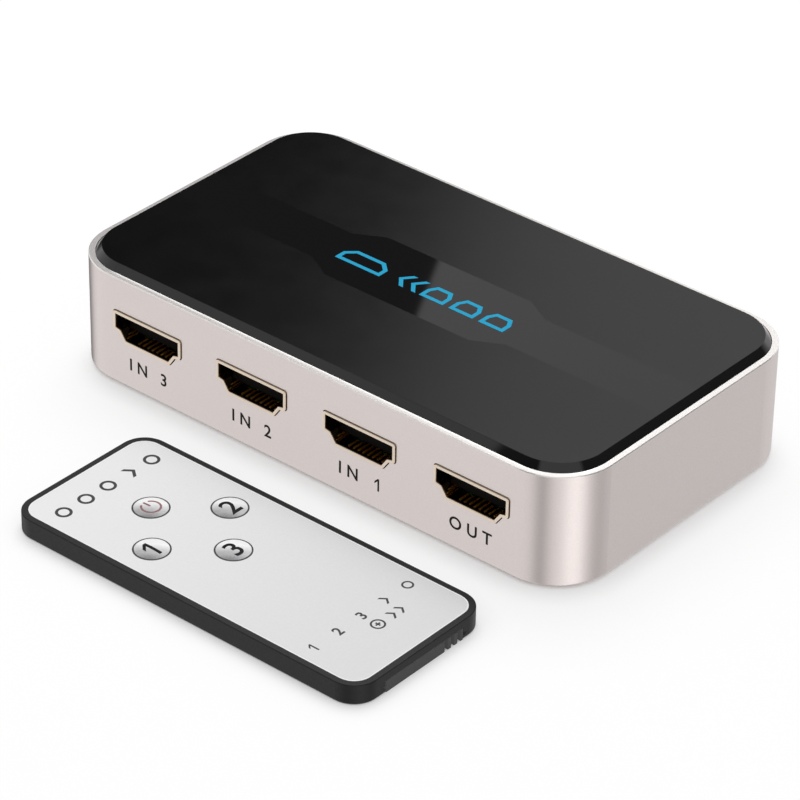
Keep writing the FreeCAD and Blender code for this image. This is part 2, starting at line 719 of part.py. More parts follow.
def make_chip():
    """Square flat package with leads on all four sides."""
    package = centred_box(d.chip_size, d.chip_size, d.chip_thickness, 0, 0, d.chip_standoff)
    lead = gull_lead(d.lead_reach, d.chip_standoff + d.chip_thickness / 2)
    leads = []
    count = int(SIZES["chip_leads"])
    for quarter in range(4):
        side = []
        for number in range(count):
            side.append(placed(lead, d.lead_pitch * (number - (count - 1) / 2), d.chip_size / 2))
        turned = group(*side)
        turned.Placement = FreeCAD.Placement(FreeCAD.Vector(), FreeCAD.Rotation(Z_AXIS, 90 * quarter))
        leads.append(turned)
    return fuse(package, *leads)


def make_controller():
    """Narrow package with a row of leads on its two long sides."""
    package = centred_box(d.controller_length, d.controller_width, d.controller_thickness, 0, 0,
                          d.chip_standoff)
    lead = gull_lead(d.lead_reach, d.chip_standoff + d.controller_thickness / 2)
    rows = []
    count = int(SIZES["controller_leads"])
    for half in range(2):
        side = []
        for number in range(count):
            side.append(placed(lead, d.controller_lead_pitch * (number - (count - 1) / 2),
                               d.controller_width / 2))
        turned = group(*side)
        turned.Placement = FreeCAD.Placement(FreeCAD.Vector(), FreeCAD.Rotation(Z_AXIS, 180 * half))
        rows.append(turned)
    return fuse(package, *rows)


def make_regulator():
    """Small power package with three leads and a wide tab."""
    package = centred_box(d.regulator_length, d.regulator_width, d.regulator_thickness, 0, 0,
                          d.chip_standoff)
    lead = gull_lead(d.lead_reach, d.chip_standoff + d.regulator_thickness / 2)
    leads = [placed(lead, step * d.regulator_length / 3, d.regulator_width / 2) for step in (-1, 0, 1)]
    tab = centred_box(d.regulator_length / 2, d.lead_reach * 2, d.chip_standoff + d.lead_thickness, 0,
                      -d.regulator_width / 2)
    return fuse(package, tab, *leads)


def make_capacitor():
    """Surface-mounted can on its square moulded base."""
    base = centred_box(d.can_base, d.can_base, d.can_base_thickness)
    can = cylinder(d.can_radius, d.can_height, 0, 0, 0)
    return fuse(base, can)


node(make_board(), "main_board")
board_screw = screw_master(d.board_screw_radius, d.board_screw_length, d.board_screw_head,
                           d.board_screw_head_height, False)
node(group(*[placed(board_screw, x, y, board_top) for x, y in post_places]), "board_screws")
node(placed(make_chip(), 0, 0, board_top), "switch_chip")
node(placed(make_controller(), d.controller_x, d.controller_y, board_top), "controller_chip")
node(placed(make_regulator(), d.regulator_x, d.regulator_y, board_top), "regulator")
capacitor = make_capacitor()
node(group(*[placed(capacitor, d.can_x + step * d.can_pitch, d.can_y, board_top) for step in (0, 1)]),
     "capacitors")
passive = centred_box(d.passive_width, d.passive_length, d.passive_thickness)
passive_count = int(SIZES["passive_count"])
node(group(*[placed(passive, x + d.passive_pitch * (step - (passive_count - 1) / 2), d.passive_y, board_top)
             for x in socket_places for step in range(passive_count)]), "line_resistors")


# Select button on the back, with the switch that it presses

tact_front = back_inside - d.tact_to_wall
flange_face = back_inside - d.stop_gap


def make_button():
    """Pill-shaped cap with a flange behind the wall and a stem to the plunger."""
    cap = free_sketch(UPRIGHT, y=flange_face - d.button_flange_thickness)
    draw_rounded(cap, d.button_length, d.button_height, d.button_height / 2 - d.button_gap,
                 button_x, key_axis)
    cap_solid = extrude(cap, back - flange_face + d.button_flange_thickness + d.button_proud, Y_AXIS)
    flange = box(d.button_length + 2 * d.button_flange, d.button_flange_thickness,
                 d.button_height + 2 * d.button_flange, button_x - d.button_length / 2 - d.button_flange,
                 flange_face - d.button_flange_thickness, key_axis - d.button_height / 2 - d.button_flange)
    stem_start = tact_front + d.button_travel + d.tip_gap
    stem = cylinder(d.plunger_radius, flange_face - stem_start, button_x, stem_start, key_axis, "Y")
    return fuse(cap_solid, flange, stem), stem_start


button_shape, plunger_end = make_button()
node(button_shape, "select_button")
tact_body = box(d.tact_length, d.tact_depth, d.tact_height, button_x - d.tact_length / 2,
                tact_front - d.tact_depth, board_top)
bore_depth = d.plunger_inside + d.button_travel + d.tip_gap
tact_bore = cylinder(d.plunger_radius + d.plunger_gap, bore_depth, button_x, tact_front - bore_depth,
                     key_axis, "Y")
node(cut(tact_body, tact_bore), "select_switch")
plunger_start = tact_front - d.plunger_inside
node(cylinder(d.plunger_radius, plunger_end - plunger_start, button_x, plunger_start, key_axis, "Y"),
     "switch_plunger")


# Indicators in their holder

led_tip = back + d.led_proud
led_start = led_tip - d.led_length
holder_length = 2 * d.led_pitch + 2 * (d.led_radius + d.led_holder_margin)
holder = box(holder_length, d.led_holder_depth, key_axis + d.led_radius + d.led_holder_margin - board_top,
             d.led_x - holder_length / 2, led_start - d.led_holder_depth / 2, board_top)
led_bores = []
leds = []
for step in (-1, 0, 1):
    x = d.led_x + step * d.led_pitch
    led_bores.append(cylinder(d.led_radius + d.led_gap, d.led_length, x, led_start, key_axis, "Y"))
    pipe = fuse(cylinder(d.led_radius, d.led_length - d.led_bevel, x, led_start, key_axis, "Y"),
                cone(d.led_radius, d.led_radius - d.led_bevel, d.led_bevel, x, led_tip - d.led_bevel,
                     key_axis, "Y"))
    leds.append(pipe)
node(cut(holder, *led_bores), "led_holder")
node(group(*leds), "indicator_leds")


# Infrared eye behind its window

window = fuse(cylinder(d.window_radius, d.wall + d.window_proud, d.eye_x, back_inside, key_axis, "Y"),
              cylinder(d.window_radius + d.window_flange, d.window_flange_thickness, d.eye_x,
                       back_inside - d.window_flange_thickness, key_axis, "Y"))
node(window, "ir_window")
eye_front = back_inside - d.window_flange_thickness - d.eye_to_window
eye_face = eye_front - d.eye_lens / 2
eye_base = key_axis - d.eye_height / 2
eye_block = box(d.eye_width, d.eye_depth, d.eye_height, d.eye_x - d.eye_width / 2, eye_face - d.eye_depth,
                eye_base)
eye_dome = sphere(d.eye_lens, d.eye_x, eye_front - d.eye_lens, key_axis)
eye_legs = [centred_box(d.eye_leg, d.eye_leg, eye_base - board_top, d.eye_x + step * d.eye_leg_pitch,
                        eye_face - d.eye_depth / 2, board_top) for step in (-1, 0, 1)]
node(fuse(eye_block, eye_dome, *eye_legs), "ir_receiver")


# Power jack

jack_block = box(d.jack_width, d.jack_depth, d.jack_height, jack_x - d.jack_width / 2, jack_rear,
                 board_top)
jack_barrel = cylinder(d.jack_barrel, d.wall + d.stop_gap, jack_x, back_inside - d.stop_gap, key_axis,
                       "Y")
jack_bore = cylinder(d.jack_bore, d.jack_bore_depth, jack_x, back - d.jack_bore_depth, key_axis, "Y")
node(cut(fuse(jack_block, jack_barrel), jack_bore), "power_jack")
pin_end = back - d.jack_pin_set_back
pin_taper = d.jack_pin / 2
jack_pin = fuse(cylinder(d.jack_pin, pin_end - pin_taper - back + d.jack_bore_depth, jack_x,
                         back - d.jack_bore_depth, key_axis, "Y"),
                cone(d.jack_pin, pin_taper, pin_taper, jack_x, pin_end - pin_taper, key_axis, "Y"))
node(jack_pin, "power_jack_pin")
terminal = centred_box(d.jack_terminal_width, d.jack_terminal_thickness, d.board_thickness + d.leg_reach)
node(group(*[placed(terminal, x, y, board_under - d.leg_reach) for x, y in terminal_places]),
     "power_jack_terminals")


# Card remote: levels and lines that its pieces share

remote_board_under = d.remote_floor + d.board_rest
remote_board_top = remote_board_under + d.remote_board_thickness
key_under = remote_board_top + d.dome_height + d.key_travel + d.strip_gap
recess_floor = key_under + d.key_flange_thickness + d.key_flange_gap
deck_top = recess_floor + d.remote_deck
remote_top = deck_top + d.overlay_thickness
remote_left = d.remote_x - d.remote_length / 2
remote_right = d.remote_x + d.remote_length / 2
tray_depth = d.tray_lip + d.cell_diameter + 2 * d.cell_gap + d.tray_rear
tray_left = remote_right - tray_depth
tray_centre = d.remote_y + d.tray_y
slot_left = tray_left - d.tray_side_gap
board_end = slot_left - d.rib_between
board_start = remote_left + d.remote_wall
board_pocket = board_end - board_start
cell_x = remote_right - d.tray_lip - d.cell_gap - d.cell_diameter / 2
cell_under = d.tray_lift + d.tray_floor
cell_top = cell_under + d.cell_thickness
strip_under = cell_top + d.strip_gap
slot_top = d.tray_lift + d.tray_front_height + d.tray_top_gap
key_places = {
    "key_power": (d.remote_x + d.power_key_x, d.remote_y + d.power_key_y),
    "key_1": (d.remote_x + d.one_key_x, d.remote_y + d.one_key_y),
    "key_2": (d.remote_x + d.two_key_x, d.remote_y + d.two_key_y),
    "key_3": (d.remote_x + d.three_key_x, d.remote_y + d.three_key_y),
}
strip_side = tray_centre - d.contact_strip_offset
cell_radius = d.cell_diameter / 2
strip_reach = (cell_radius * cell_radius - d.contact_strip_offset * d.contact_strip_offset).root()
strip_end = cell_x - strip_reach - d.strip_gap
diode_level = recess_floor - d.strip_gap - d.diode_radius
diode_start = remote_left - d.diode_proud + d.diode_radius
rail_level = d.tray_lift + d.rail_base


def make_remote_case():
    """Flat shell with a pocket for the board and a slot, open below, for the battery tray."""
    shell = new_body("remote_shell")
    outer = draw_rounded(body_sketch(shell, 0), d.remote_length, d.remote_width, d.remote_corner,
                         d.remote_x, d.remote_y)
    solid = pad(shell, outer, remote_top)
    lower = soften(shell, "Fillet", solid, 0, d.remote_edge_round)
    soften(shell, "Fillet", lower, remote_top, d.remote_top_round)
    recess = draw_rounded(body_sketch(shell, remote_top), d.remote_length - 2 * d.remote_rim,
                          d.remote_width - 2 * d.remote_rim, d.remote_corner - d.remote_rim,
                          d.remote_x, d.remote_y)
    pocket(shell, recess, remote_top - recess_floor)
    inside = draw_rounded(body_sketch(shell, remote_top), board_pocket, d.remote_width - 2 * d.remote_wall,
                          d.remote_corner - d.remote_wall, (board_start + board_end) / 2, d.remote_y)
    pocket(shell, inside, remote_top - d.remote_floor)
    slot = draw_rectangle(body_sketch(shell, 0), tray_depth + 2 * d.tray_side_gap,
                          d.tray_width + 2 * d.tray_side_gap, tray_left + tray_depth / 2, tray_centre)
    pocket(shell, slot, slot_top, upwards=True)
    grooves = []
    for side in (-1, 1):
        reach = d.rail_reach + d.rail_gap
        edge = tray_centre + side * (d.tray_width / 2 + d.tray_side_gap)
        y = edge if side > 0 else edge - reach
        grooves.append(box(tray_depth + 2 * d.tray_side_gap, reach, d.rail_height + 2 * d.rail_gap,
                           slot_left, y, rail_level - d.rail_gap))
    gap = d.strip_channel
    channel_width = d.contact_strip_width + 2 * gap
    channel_height = recess_floor - remote_board_top
    channels = [
        box(cell_x - board_end + 2 * gap, channel_width, channel_height, board_end - gap,
            tray_centre - d.contact_strip_width / 2 - gap, remote_board_top),
        box(slot_left - board_end + 2 * gap, channel_width, channel_height, board_end - gap,
            strip_side - d.contact_strip_width - gap, remote_board_top),
    ]
    diode = cylinder(d.diode_radius + d.diode_gap, 2 * d.remote_wall, remote_left - d.remote_wall / 2,
                     d.remote_y, diode_level, "X")
    rests = []
    for side in (-1, 1):
        wall_face = d.remote_y + side * (d.remote_width / 2 - d.remote_wall)
        y = wall_face - d.board_rest_width if side > 0 else wall_face
        rests.append(box(board_pocket, d.board_rest_width, d.board_rest, board_start, y, d.remote_floor))
    return fuse(cut(shell, *grooves, *channels, diode), *rests)


def make_remote_board():
    """Thin board on its rests, notched at the end for the diode."""
    board = new_body("key_board")
    wall = d.remote_wall + d.remote_board_gap
    outline = draw_rounded(body_sketch(board, remote_board_under), board_pocket - 2 * d.remote_board_gap,
                           d.remote_width - 2 * wall, d.remote_corner - wall, (board_start + board_end) / 2,
                           d.remote_y)
    pad(board, outline, d.remote_board_thickness)
    end = diode_start + d.diode_length + d.diode_gap
    notch = draw_rectangle(body_sketch(board, remote_board_top), 2 * (end - board_start),
                           2 * (d.diode_radius + d.diode_gap), board_start, d.remote_y)
    pocket(board, notch, d.remote_board_thickness)
    return board


def make_remote_deck():
    """Thin plate that drops into the case's recess and holds the keys down by their flanges."""
    plate = new_body("deck_plate")
    inset = d.remote_rim + d.overlay_gap
    outline = draw_rounded(body_sketch(plate, recess_floor), d.remote_length - 2 * inset,
                           d.remote_width - 2 * inset, d.remote_corner - inset, d.remote_x, d.remote_y)
    pad(plate, outline, d.remote_deck)
    wells = body_sketch(plate, deck_top)
    for x, y in key_places.values():
        draw_circle(wells, d.key_radius + d.key_gap, x, y)
    pocket(plate, wells, d.remote_deck)
    return plate


def make_overlay():
    """Printed face sheet, level with the rim of the case, with a round hole at each key."""
    sheet = new_body("overlay_sheet")
    inset = d.remote_rim + d.overlay_gap
    outline = draw_rounded(body_sketch(sheet, deck_top), d.remote_length - 2 * inset,
                           d.remote_width - 2 * inset, d.remote_corner - inset, d.remote_x, d.remote_y)
    pad(sheet, outline, d.overlay_thickness)
    wells = body_sketch(sheet, remote_top)
    for x, y in key_places.values():
        draw_circle(wells, d.key_radius + d.key_gap, x, y)
    pocket(sheet, wells, d.overlay_thickness)
    return sheet


def make_key():
    """Round key with a flange below the deck and a shallow crown, standing on its underside."""
    height = remote_top - key_under
    flange = cylinder(d.key_radius + d.key_flange, d.key_flange_thickness)
    stem = cylinder(d.key_radius, height)
    bow = (d.key_radius * d.key_radius + d.key_crown * d.key_crown) / (2 * d.key_crown)
    cap = common(sphere(bow, 0, 0, height + d.key_crown - bow),
                 cylinder(d.key_radius, height + d.key_crown))
    return fuse(flange, stem, cap)


def make_tray():
    """Drawer for the coin cell: floor with a window, ring, front lip with grips, and two rails."""
    height = cell_top - d.tray_lift - d.strip_gap
    frame = box(tray_depth, d.tray_width, height, tray_left, tray_centre - d.tray_width / 2, d.tray_lift)
    lip = box(d.tray_lip, d.tray_width, d.tray_front_height, remote_right - d.tray_lip,
              tray_centre - d.tray_width / 2, d.tray_lift)
    rails = []
    for side in (-1, 1):
        edge = tray_centre + side * d.tray_width / 2
        rails.append(box(tray_depth - d.tray_lip, d.rail_reach, d.rail_height, tray_left,
                         edge if side > 0 else edge - d.rail_reach, rail_level))
    cell_well = cylinder(cell_radius + d.cell_gap, remote_top, cell_x, tray_centre, cell_under)
    window = cylinder(d.tray_window, remote_top, cell_x, tray_centre, 0)
    notch = box(cell_x - d.tray_window - tray_left + d.tray_side_gap,
                d.contact_strip_width + 2 * d.strip_channel, remote_top, tray_left - d.tray_side_gap,
                strip_side - d.contact_strip_width - d.strip_channel, cell_under)
    grips = []
    for number in range(int(SIZES["grip_count"])):
        y = tray_centre + d.tray_width / 2 - d.grip_margin - d.grip_pitch * number - d.grip_width / 2
        grips.append(box(2 * d.grip_depth, d.grip_width, remote_top, remote_right - d.grip_depth, y,
                         0))
    return cut(fuse(frame, lip, *rails), cell_well, window, notch, *grips)


def make_cell():
    """Coin cell: the can below, the smaller cap on top."""
    can = cylinder(cell_radius, d.cell_thickness - d.cell_cap_height, cell_x, tray_centre, cell_under)
    cap = cylinder(d.cell_cap_radius, d.cell_thickness, cell_x, tray_centre, cell_under)
    return fuse(can, cap)


def make_cell_contacts():
    """Two spring strips from the board: one above the cell, one down behind its edge."""
    above = box(cell_x - board_end + d.strip_foot, d.contact_strip_width, d.contact_strip,
                board_end - d.strip_foot, tray_centre - d.contact_strip_width / 2, strip_under)
    foot_block = box(d.strip_foot - d.remote_board_gap, d.contact_strip_width,
                     strip_under - remote_board_top, board_end - d.strip_foot,
                     tray_centre - d.contact_strip_width / 2, remote_board_top)
    along = box(strip_end - board_end + d.strip_foot, d.contact_strip_width, d.contact_strip,
                board_end - d.strip_foot, strip_side - d.contact_strip_width, remote_board_top)
    return group(fuse(above, foot_block), along)


node(make_remote_case(), "remote_case")
node(make_remote_deck(), "remote_deck")
node(make_overlay(), "remote_overlay")
key_master = make_key()
for label, (x, y) in key_places.items():
    node(placed(key_master, x, y, key_under), label)
node(make_remote_board(), "remote_board")
dome_cap = cone(d.dome_radius, d.dome_radius / 2, d.dome_height)
node(group(*[placed(dome_cap, x, y, remote_board_top) for x, y in key_places.values()]), "key_domes")
node(centred_box(d.code_chip_length, d.code_chip_width, d.code_chip_thickness, d.remote_x + d.code_chip_x,
                 d.remote_y + d.code_chip_y, remote_board_top), "remote_chip")
diode = fuse(cylinder(d.diode_radius, d.diode_length, diode_start, d.remote_y, diode_level, "X"),
             sphere(d.diode_radius, diode_start, d.remote_y, diode_level))
node(diode, "remote_diode")
node(make_tray(), "battery_tray")
node(make_cell(), "coin_cell")
node(make_cell_contacts(), "cell_contacts")


# Check every object, then write one file for each sub-part

document.recompute()
for item in document.Objects:
    if {"Invalid", "Error"} & set(item.State):
        raise RuntimeError(f"{item.Name} ({item.Label}) failed: {item.State}")
for item in nodes:
    if item.Shape.isNull() or not item.Shape.isValid() or not item.Shape.Solids:
        raise RuntimeError(f"{item.Label} has no sound solid")
os.makedirs("parts", exist_ok=True)
for item in nodes:
    item.Shape.exportStep(f"parts/{item.Label}.step")
    limits = item.Shape.BoundBox
    print(f"{item.Label}: {len(item.Shape.Solids)} solid(s), volume {item.Shape.Volume:.2f}, "
          f"from ({limits.XMin:.2f}, {limits.YMin:.2f}, {limits.ZMin:.2f}) "
          f"to ({limits.XMax:.2f}, {limits.YMax:.2f}, {limits.ZMax:.2f})")
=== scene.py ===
"""Looks of a small video switch box and of the flat card remote that lies in front of it.

Metres, Z up.  X runs along the side with the four sockets, and that side faces -Y.  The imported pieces
keep their shapes and get finishes; this file adds the printed marks, the studio and the camera.
"""

import logging
import math
from dataclasses import dataclass, field
from enum import Enum

import bmesh
import bpy
import numpy as np
from mathutils import Matrix, Vector


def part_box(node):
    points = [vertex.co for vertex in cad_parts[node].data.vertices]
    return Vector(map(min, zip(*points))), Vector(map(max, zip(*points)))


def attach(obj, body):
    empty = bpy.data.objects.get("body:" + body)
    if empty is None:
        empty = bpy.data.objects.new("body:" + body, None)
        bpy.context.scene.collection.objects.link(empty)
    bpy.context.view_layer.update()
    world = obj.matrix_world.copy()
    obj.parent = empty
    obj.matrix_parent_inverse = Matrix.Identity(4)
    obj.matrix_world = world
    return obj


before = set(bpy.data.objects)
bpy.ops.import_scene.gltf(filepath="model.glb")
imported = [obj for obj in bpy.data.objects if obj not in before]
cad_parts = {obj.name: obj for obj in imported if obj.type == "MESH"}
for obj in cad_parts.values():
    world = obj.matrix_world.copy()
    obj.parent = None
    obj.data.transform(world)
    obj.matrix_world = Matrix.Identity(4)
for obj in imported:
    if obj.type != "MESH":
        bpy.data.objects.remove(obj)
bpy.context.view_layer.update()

MM = 0.001
LOG = logging.getLogger("scene")
NOISE_LOW = 0.3
NOISE_MIDDLE = 0.5
NOISE_HIGH = 0.7
WHITE = (1, 1, 1, 1)

Inputs = dict[str | int, object]
Point = tuple[float, float, float]
Source = bpy.types.Node | bpy.types.NodeSocket


class Body(Enum):
    """Rigid bodies that a printed mark can ride on."""

    SWITCH = "switch"
    REMOTE = "remote"
    KEY_POWER = "key_power"
    KEY_1 = "key_1"
    KEY_2 = "key_2"
    KEY_3 = "key_3"


class Facing(Enum):
    """Directions that a flat mark faces, as its rightward and upward directions."""

    FRONT = ((1, 0, 0), (0, 0, 1))
    BACK = ((-1, 0, 0), (0, 0, 1))
    TOP_FROM_BACK = ((-1, 0, 0), (0, -1, 0))
    TOP_FROM_RIGHT = ((0, 1, 0), (-1, 0, 0))


# Colours and shader nodes

def linear(code: str) -> tuple[float, float, float, float]:
    """Turn a display colour into the linear values that shaders use.

    Args:
        code: Colour as #RRGGBB, display encoded.

    Returns:
        Red, green, blue and an opacity of one, linear.
    """
    values = np.array([int(code[i:i + 2], 16) for i in (1, 3, 5)]) / 255
    low, high = values / 12.92, ((values + 0.055) / 1.055) ** 2.4
    red, green, blue = np.where(values <= 0.04045, low, high)
    return float(red), float(green), float(blue), 1.0


class Shading:
    """The node tree of a material or a world, filled step by step."""

    def __init__(self, owner: bpy.types.Material | bpy.types.World) -> None:
        """Start with the coordinates alone.

        Args:
            owner: The material or the world.
        """
        owner.use_nodes = True
        self.tree = owner.node_tree
        self.tree.nodes.clear()
        self.places = self.add("TexCoord").outputs

    def plug(self, node: bpy.types.Node, inputs: Inputs) -> None:
        """Set or link some inputs of a node.

        Args:
            node: The node.
            inputs: For each input, by name or index, a value, a socket, or a node whose first output in
                use is linked.
        """
        for name, value in inputs.items():
            if isinstance(value, bpy.types.Node):
                value = next(output for output in value.outputs if output.enabled)
            if isinstance(value, bpy.types.NodeSocket):
                self.tree.links.new(value, node.inputs[name])
            else:
                node.inputs[name].default_value = value

    def add(self, kind: str, inputs: Inputs | None = None, **settings: object) -> bpy.types.Node:
        """Add one node with its settings, values and links.

        Args:
            kind: The node's type, without the word ShaderNode at its start.
            inputs: What its inputs get, as for plug.
            settings: The node's own properties.

        Returns:
            The new node.
        """
        node = self.tree.nodes.new("ShaderNode" + kind)
        for name, value in settings.items():
            setattr(node, name, value)
        self.plug(node, inputs or {})
        return node

    def grain(self, size_mm: float, detail: float = 2.0, place: Source | None = None) -> Source:
        """Even noise at a real size.

        Args:
            size_mm: Size of one grain.
            detail: Number of finer layers.
            place: Coordinates in metres, if not the object's own.

        Returns:
            Noise from 0 to 1.
        """
        place = self.places["Object"] if place is None else place
        return self.add("TexNoise", {"Vector": place, "Scale": 1 / (size_mm * MM), "Detail": detail})

    def vary(self, noise: Source, low: float, high: float) -> Source:
        """Spread the middle of a noise over a range.

        Args:
            noise: Noise from 0 to 1.
            low: Value where the noise is low.
            high: Value where it is high.

        Returns:
            The value.
        """
        return self.add("MapRange", {"Value": noise, "From Min": NOISE_LOW, "From Max": NOISE_HIGH,
                                     "To Min": low, "To Max": high})

    def blend(self, share: Source, first: object, second: object) -> Source:
        """Blend two colours, or two numbers where at least one is a plain one.

        Args:
            share: 0 gives the first and 1 the second.
            first: A colour as #RRGGBB or as linear values, a number, or a node.
            second: The same.

        Returns:
            The blend.
        """
        first, second = (linear(end) if isinstance(end, str) else end for end in (first, second))
        kind = "FLOAT" if isinstance(first, float) or isinstance(second, float) else "RGBA"
        return self.add("Mix", {"Factor": share, "A": first, "B": second}, data_type=kind)

    def speckle(self, noise: Source, first: str, second: str) -> Source:
        """Two colours, spread over the surface by a noise."""
        return self.blend(self.vary(noise, 0, 1), first, second)

    def unsettle(self, share: Source, noise: Source, amount: float) -> Source:
        """A share from 0 to 1 that a noise raises and lowers by up to an amount."""
        shift = self.vary(noise, -amount, amount)
        return self.add("Math", {0: share, 1: shift}, operation="ADD", use_clamp=True)

    def bump(self, height: Source, depth_mm: float, shows: float) -> Source:
        """Normals of a surface raised by a height from 0 to 1, of which a share shows."""
        return self.add("Bump", {"Height": height, "Distance": depth_mm * MM, "Strength": shows})


# Finishes, each from the material of the real piece

@dataclass(frozen=True)
class Finish:
    """A procedural surface; each kind says what varies over it."""

    name: str

    def build(self) -> bpy.types.Material:
        """Make the material.

        Returns:
            The finished material.
        """
        material = bpy.data.materials.new(self.name)
        nodes = Shading(material)
        shader = nodes.add("BsdfPrincipled", self.wire(nodes))
        nodes.add("OutputMaterial", {"Surface": shader})
        return material

    def wire(self, nodes: Shading) -> Inputs:
        """Work out what varies over the surface.

        Args:
            nodes: The material's tree.

        Returns:
            What the shader's inputs get.
        """
        raise NotImplementedError


@dataclass(frozen=True)
class AnodisedAluminium(Finish):
    """Bead-blasted, warm-silver anodised aluminium: an even satin with a fine sparkle, and a paler rim."""

    shade: str = "#D8CFCC"
    deep: str = "#D3C9C6"
    rim_shade: str = "#F5F1EF"
    metal: float = 0.86
    rim_metal: float = 0.7
    satin: tuple[float, float] = (0.29, 0.35)
    rim_satin: float = 0.24
    rim_from_mm: float = 20.66
    grit_mm: float = 0.22
    """Real blasting grit leaves 0.05 mm pits; they are drawn coarser so that they show."""
    pit_depth_mm: float = 0.003
    pit_shows: float = 0.35

    def wire(self, nodes: Shading) -> Inputs:
        """Even satin with fine pits; above a height the metal is smooth and paler.

        Args:
            nodes: The material's tree.

        Returns:
            What the shader's inputs get.
        """
        grit = nodes.grain(self.grit_mm)
        height = nodes.add("SeparateXYZ", {"Vector": nodes.places["Object"]}).outputs["Z"]
        rim = nodes.add("Math", {0: height, 1: self.rim_from_mm * MM}, operation="GREATER_THAN")
        pits = nodes.blend(rim, grit, NOISE_MIDDLE)
        return {"Base Color": nodes.blend(rim, nodes.speckle(grit, self.shade, self.deep), self.rim_shade),
                "Metallic": nodes.blend(rim, self.metal, self.rim_metal),
                "Roughness": nodes.blend(rim, nodes.vary(grit, *self.satin), self.rim_satin),
                "Normal": nodes.bump(pits, self.pit_depth_mm, self.pit_shows)}


@dataclass(frozen=True)
class BlackAcrylic(Finish):
    """Cast acrylic, printed black behind: deep gloss, with a satin hard coat round a polished stripe."""

    face_shade: str = "#040405"
    stripe_shade: str = "#151516"
    index: float = 1.49
    polish: float = 0.02
    satin: tuple[float, float] = (0.145, 0.165)
    cloud_mm: float = 6.0
    face_from_mm: float = 21.95
    narrow_half_mm: float = 5.0
    wide_half_mm: float = 7.9
    wide_to_mm: float = 15.2
    narrow_from_mm: float = 20.5
    stripe_shift_mm: float = -0.3

    def wire(self, nodes: Shading) -> Inputs:
        """Polished inside the stripe and on the bevel, satin elsewhere on the face.

        Args:
            nodes: The material's tree.

        Returns:
            What the shader's inputs get.
        """
        apart = nodes.add("SeparateXYZ", {"Vector": nodes.places["Object"]}).outputs
        along = nodes.add("Math", {0: apart["X"]}, operation="ABSOLUTE")
        half = nodes.add("MapRange", {
            "Value": along, "From Min": self.wide_to_mm * MM, "From Max": self.narrow_from_mm * MM,
            "To Min": self.wide_half_mm * MM, "To Max": self.narrow_half_mm * MM})
        across = nodes.add("Math", {0: apart["Y"], 1: self.stripe_shift_mm * MM}, operation="SUBTRACT")
        away = nodes.add("Math", {0: across}, operation="ABSOLUTE")
        outside = nodes.add("Math", {0: away, 1: half}, operation="GREATER_THAN")
        face = nodes.add("Math", {0: apart["Z"], 1: self.face_from_mm * MM}, operation="GREATER_THAN")
        satin = nodes.add("Math", {0: outside, 1: face}, operation="MULTIPLY")
        cloud = nodes.vary(nodes.grain(self.cloud_mm), *self.satin)
        return {"IOR": self.index, "Base Color": nodes.blend(satin, self.stripe_shade, self.face_shade),
                "Roughness": nodes.blend(satin, self.polish, cloud)}


@dataclass(frozen=True)
class EvenFinish(Finish):
    """One material throughout, whose grain changes colour, gloss and height together."""

    shade: str
    deep: str
    satin: float
    grain_mm: float = 0.3
    depth_mm: float = 0.0
    gloss: float = 0.5
    metal: float = 0.0
    draw_out: float = 1.0
    index: float = 1.5
    sheen: float = 0.0
    brighter: float = 0.05
    duller: float = 0.05
    """How far the roughness goes below and above the satin."""
    detail: float = 2.0
    shows: float = 0.5

    def wire(self, nodes: Shading) -> Inputs:
        """Grain, drawn out along Y where the piece was rolled.

        Args:
            nodes: The material's tree.

        Returns:
            What the shader's inputs get.
        """
        drawn = nodes.add("Mapping", {"Vector": nodes.places["Object"], "Scale": (1, 1 / self.draw_out, 1)})
        grain = nodes.grain(self.grain_mm, self.detail, drawn)
        looks = {"IOR": self.index, "Specular IOR Level": self.gloss, "Metallic": self.metal,
                 "Sheen Weight": self.sheen, "Base Color": nodes.speckle(grain, self.shade, self.deep),
                 "Roughness": nodes.vary(grain, self.satin - self.brighter, self.satin + self.duller)}
        if self.depth_mm:
            looks["Normal"] = nodes.bump(grain, self.depth_mm, self.shows)
        return looks


@dataclass(frozen=True)
class MouldedPlastic(EvenFinish):
    """Injection-moulded plastic from a spark-eroded tool: even colour, fine pits and a soft, low gloss.

    Tool texture has pits of about 0.1 mm; they are drawn coarser so that they show.
    """

    depth_mm: float = 0.008
    index: float = 1.52
    detail: float = 3.0


@dataclass(frozen=True)
class PlatedSheet(EvenFinish):
    """Plated strip, stamped and folded: bright metal with faint rolling lines along its length."""

    grain_mm: float = 0.15
    depth_mm: float = 0.002
    metal: float = 1.0
    draw_out: float = 12.0
    duller: float = 0.07
    shows: float = 0.4


@dataclass(frozen=True)
class SoftRubber(EvenFinish):
    """Moulded silicone rubber: dark, dull, with dust on the high spots of a fine orange-peel skin."""

    grain_mm: float = 0.5
    depth_mm: float = 0.02
    sheen: float = 0.1
    brighter: float = 0.085
    duller: float = 0.085
    detail: float = 3.0


@dataclass(frozen=True)
class PrintingInk(EvenFinish):
    """Pad-printed ink: a thin, slightly uneven film, a little duller than what it lies on."""

    satin: float = 0.45
    grain_mm: float = 0.25
    gloss: float = 0.3


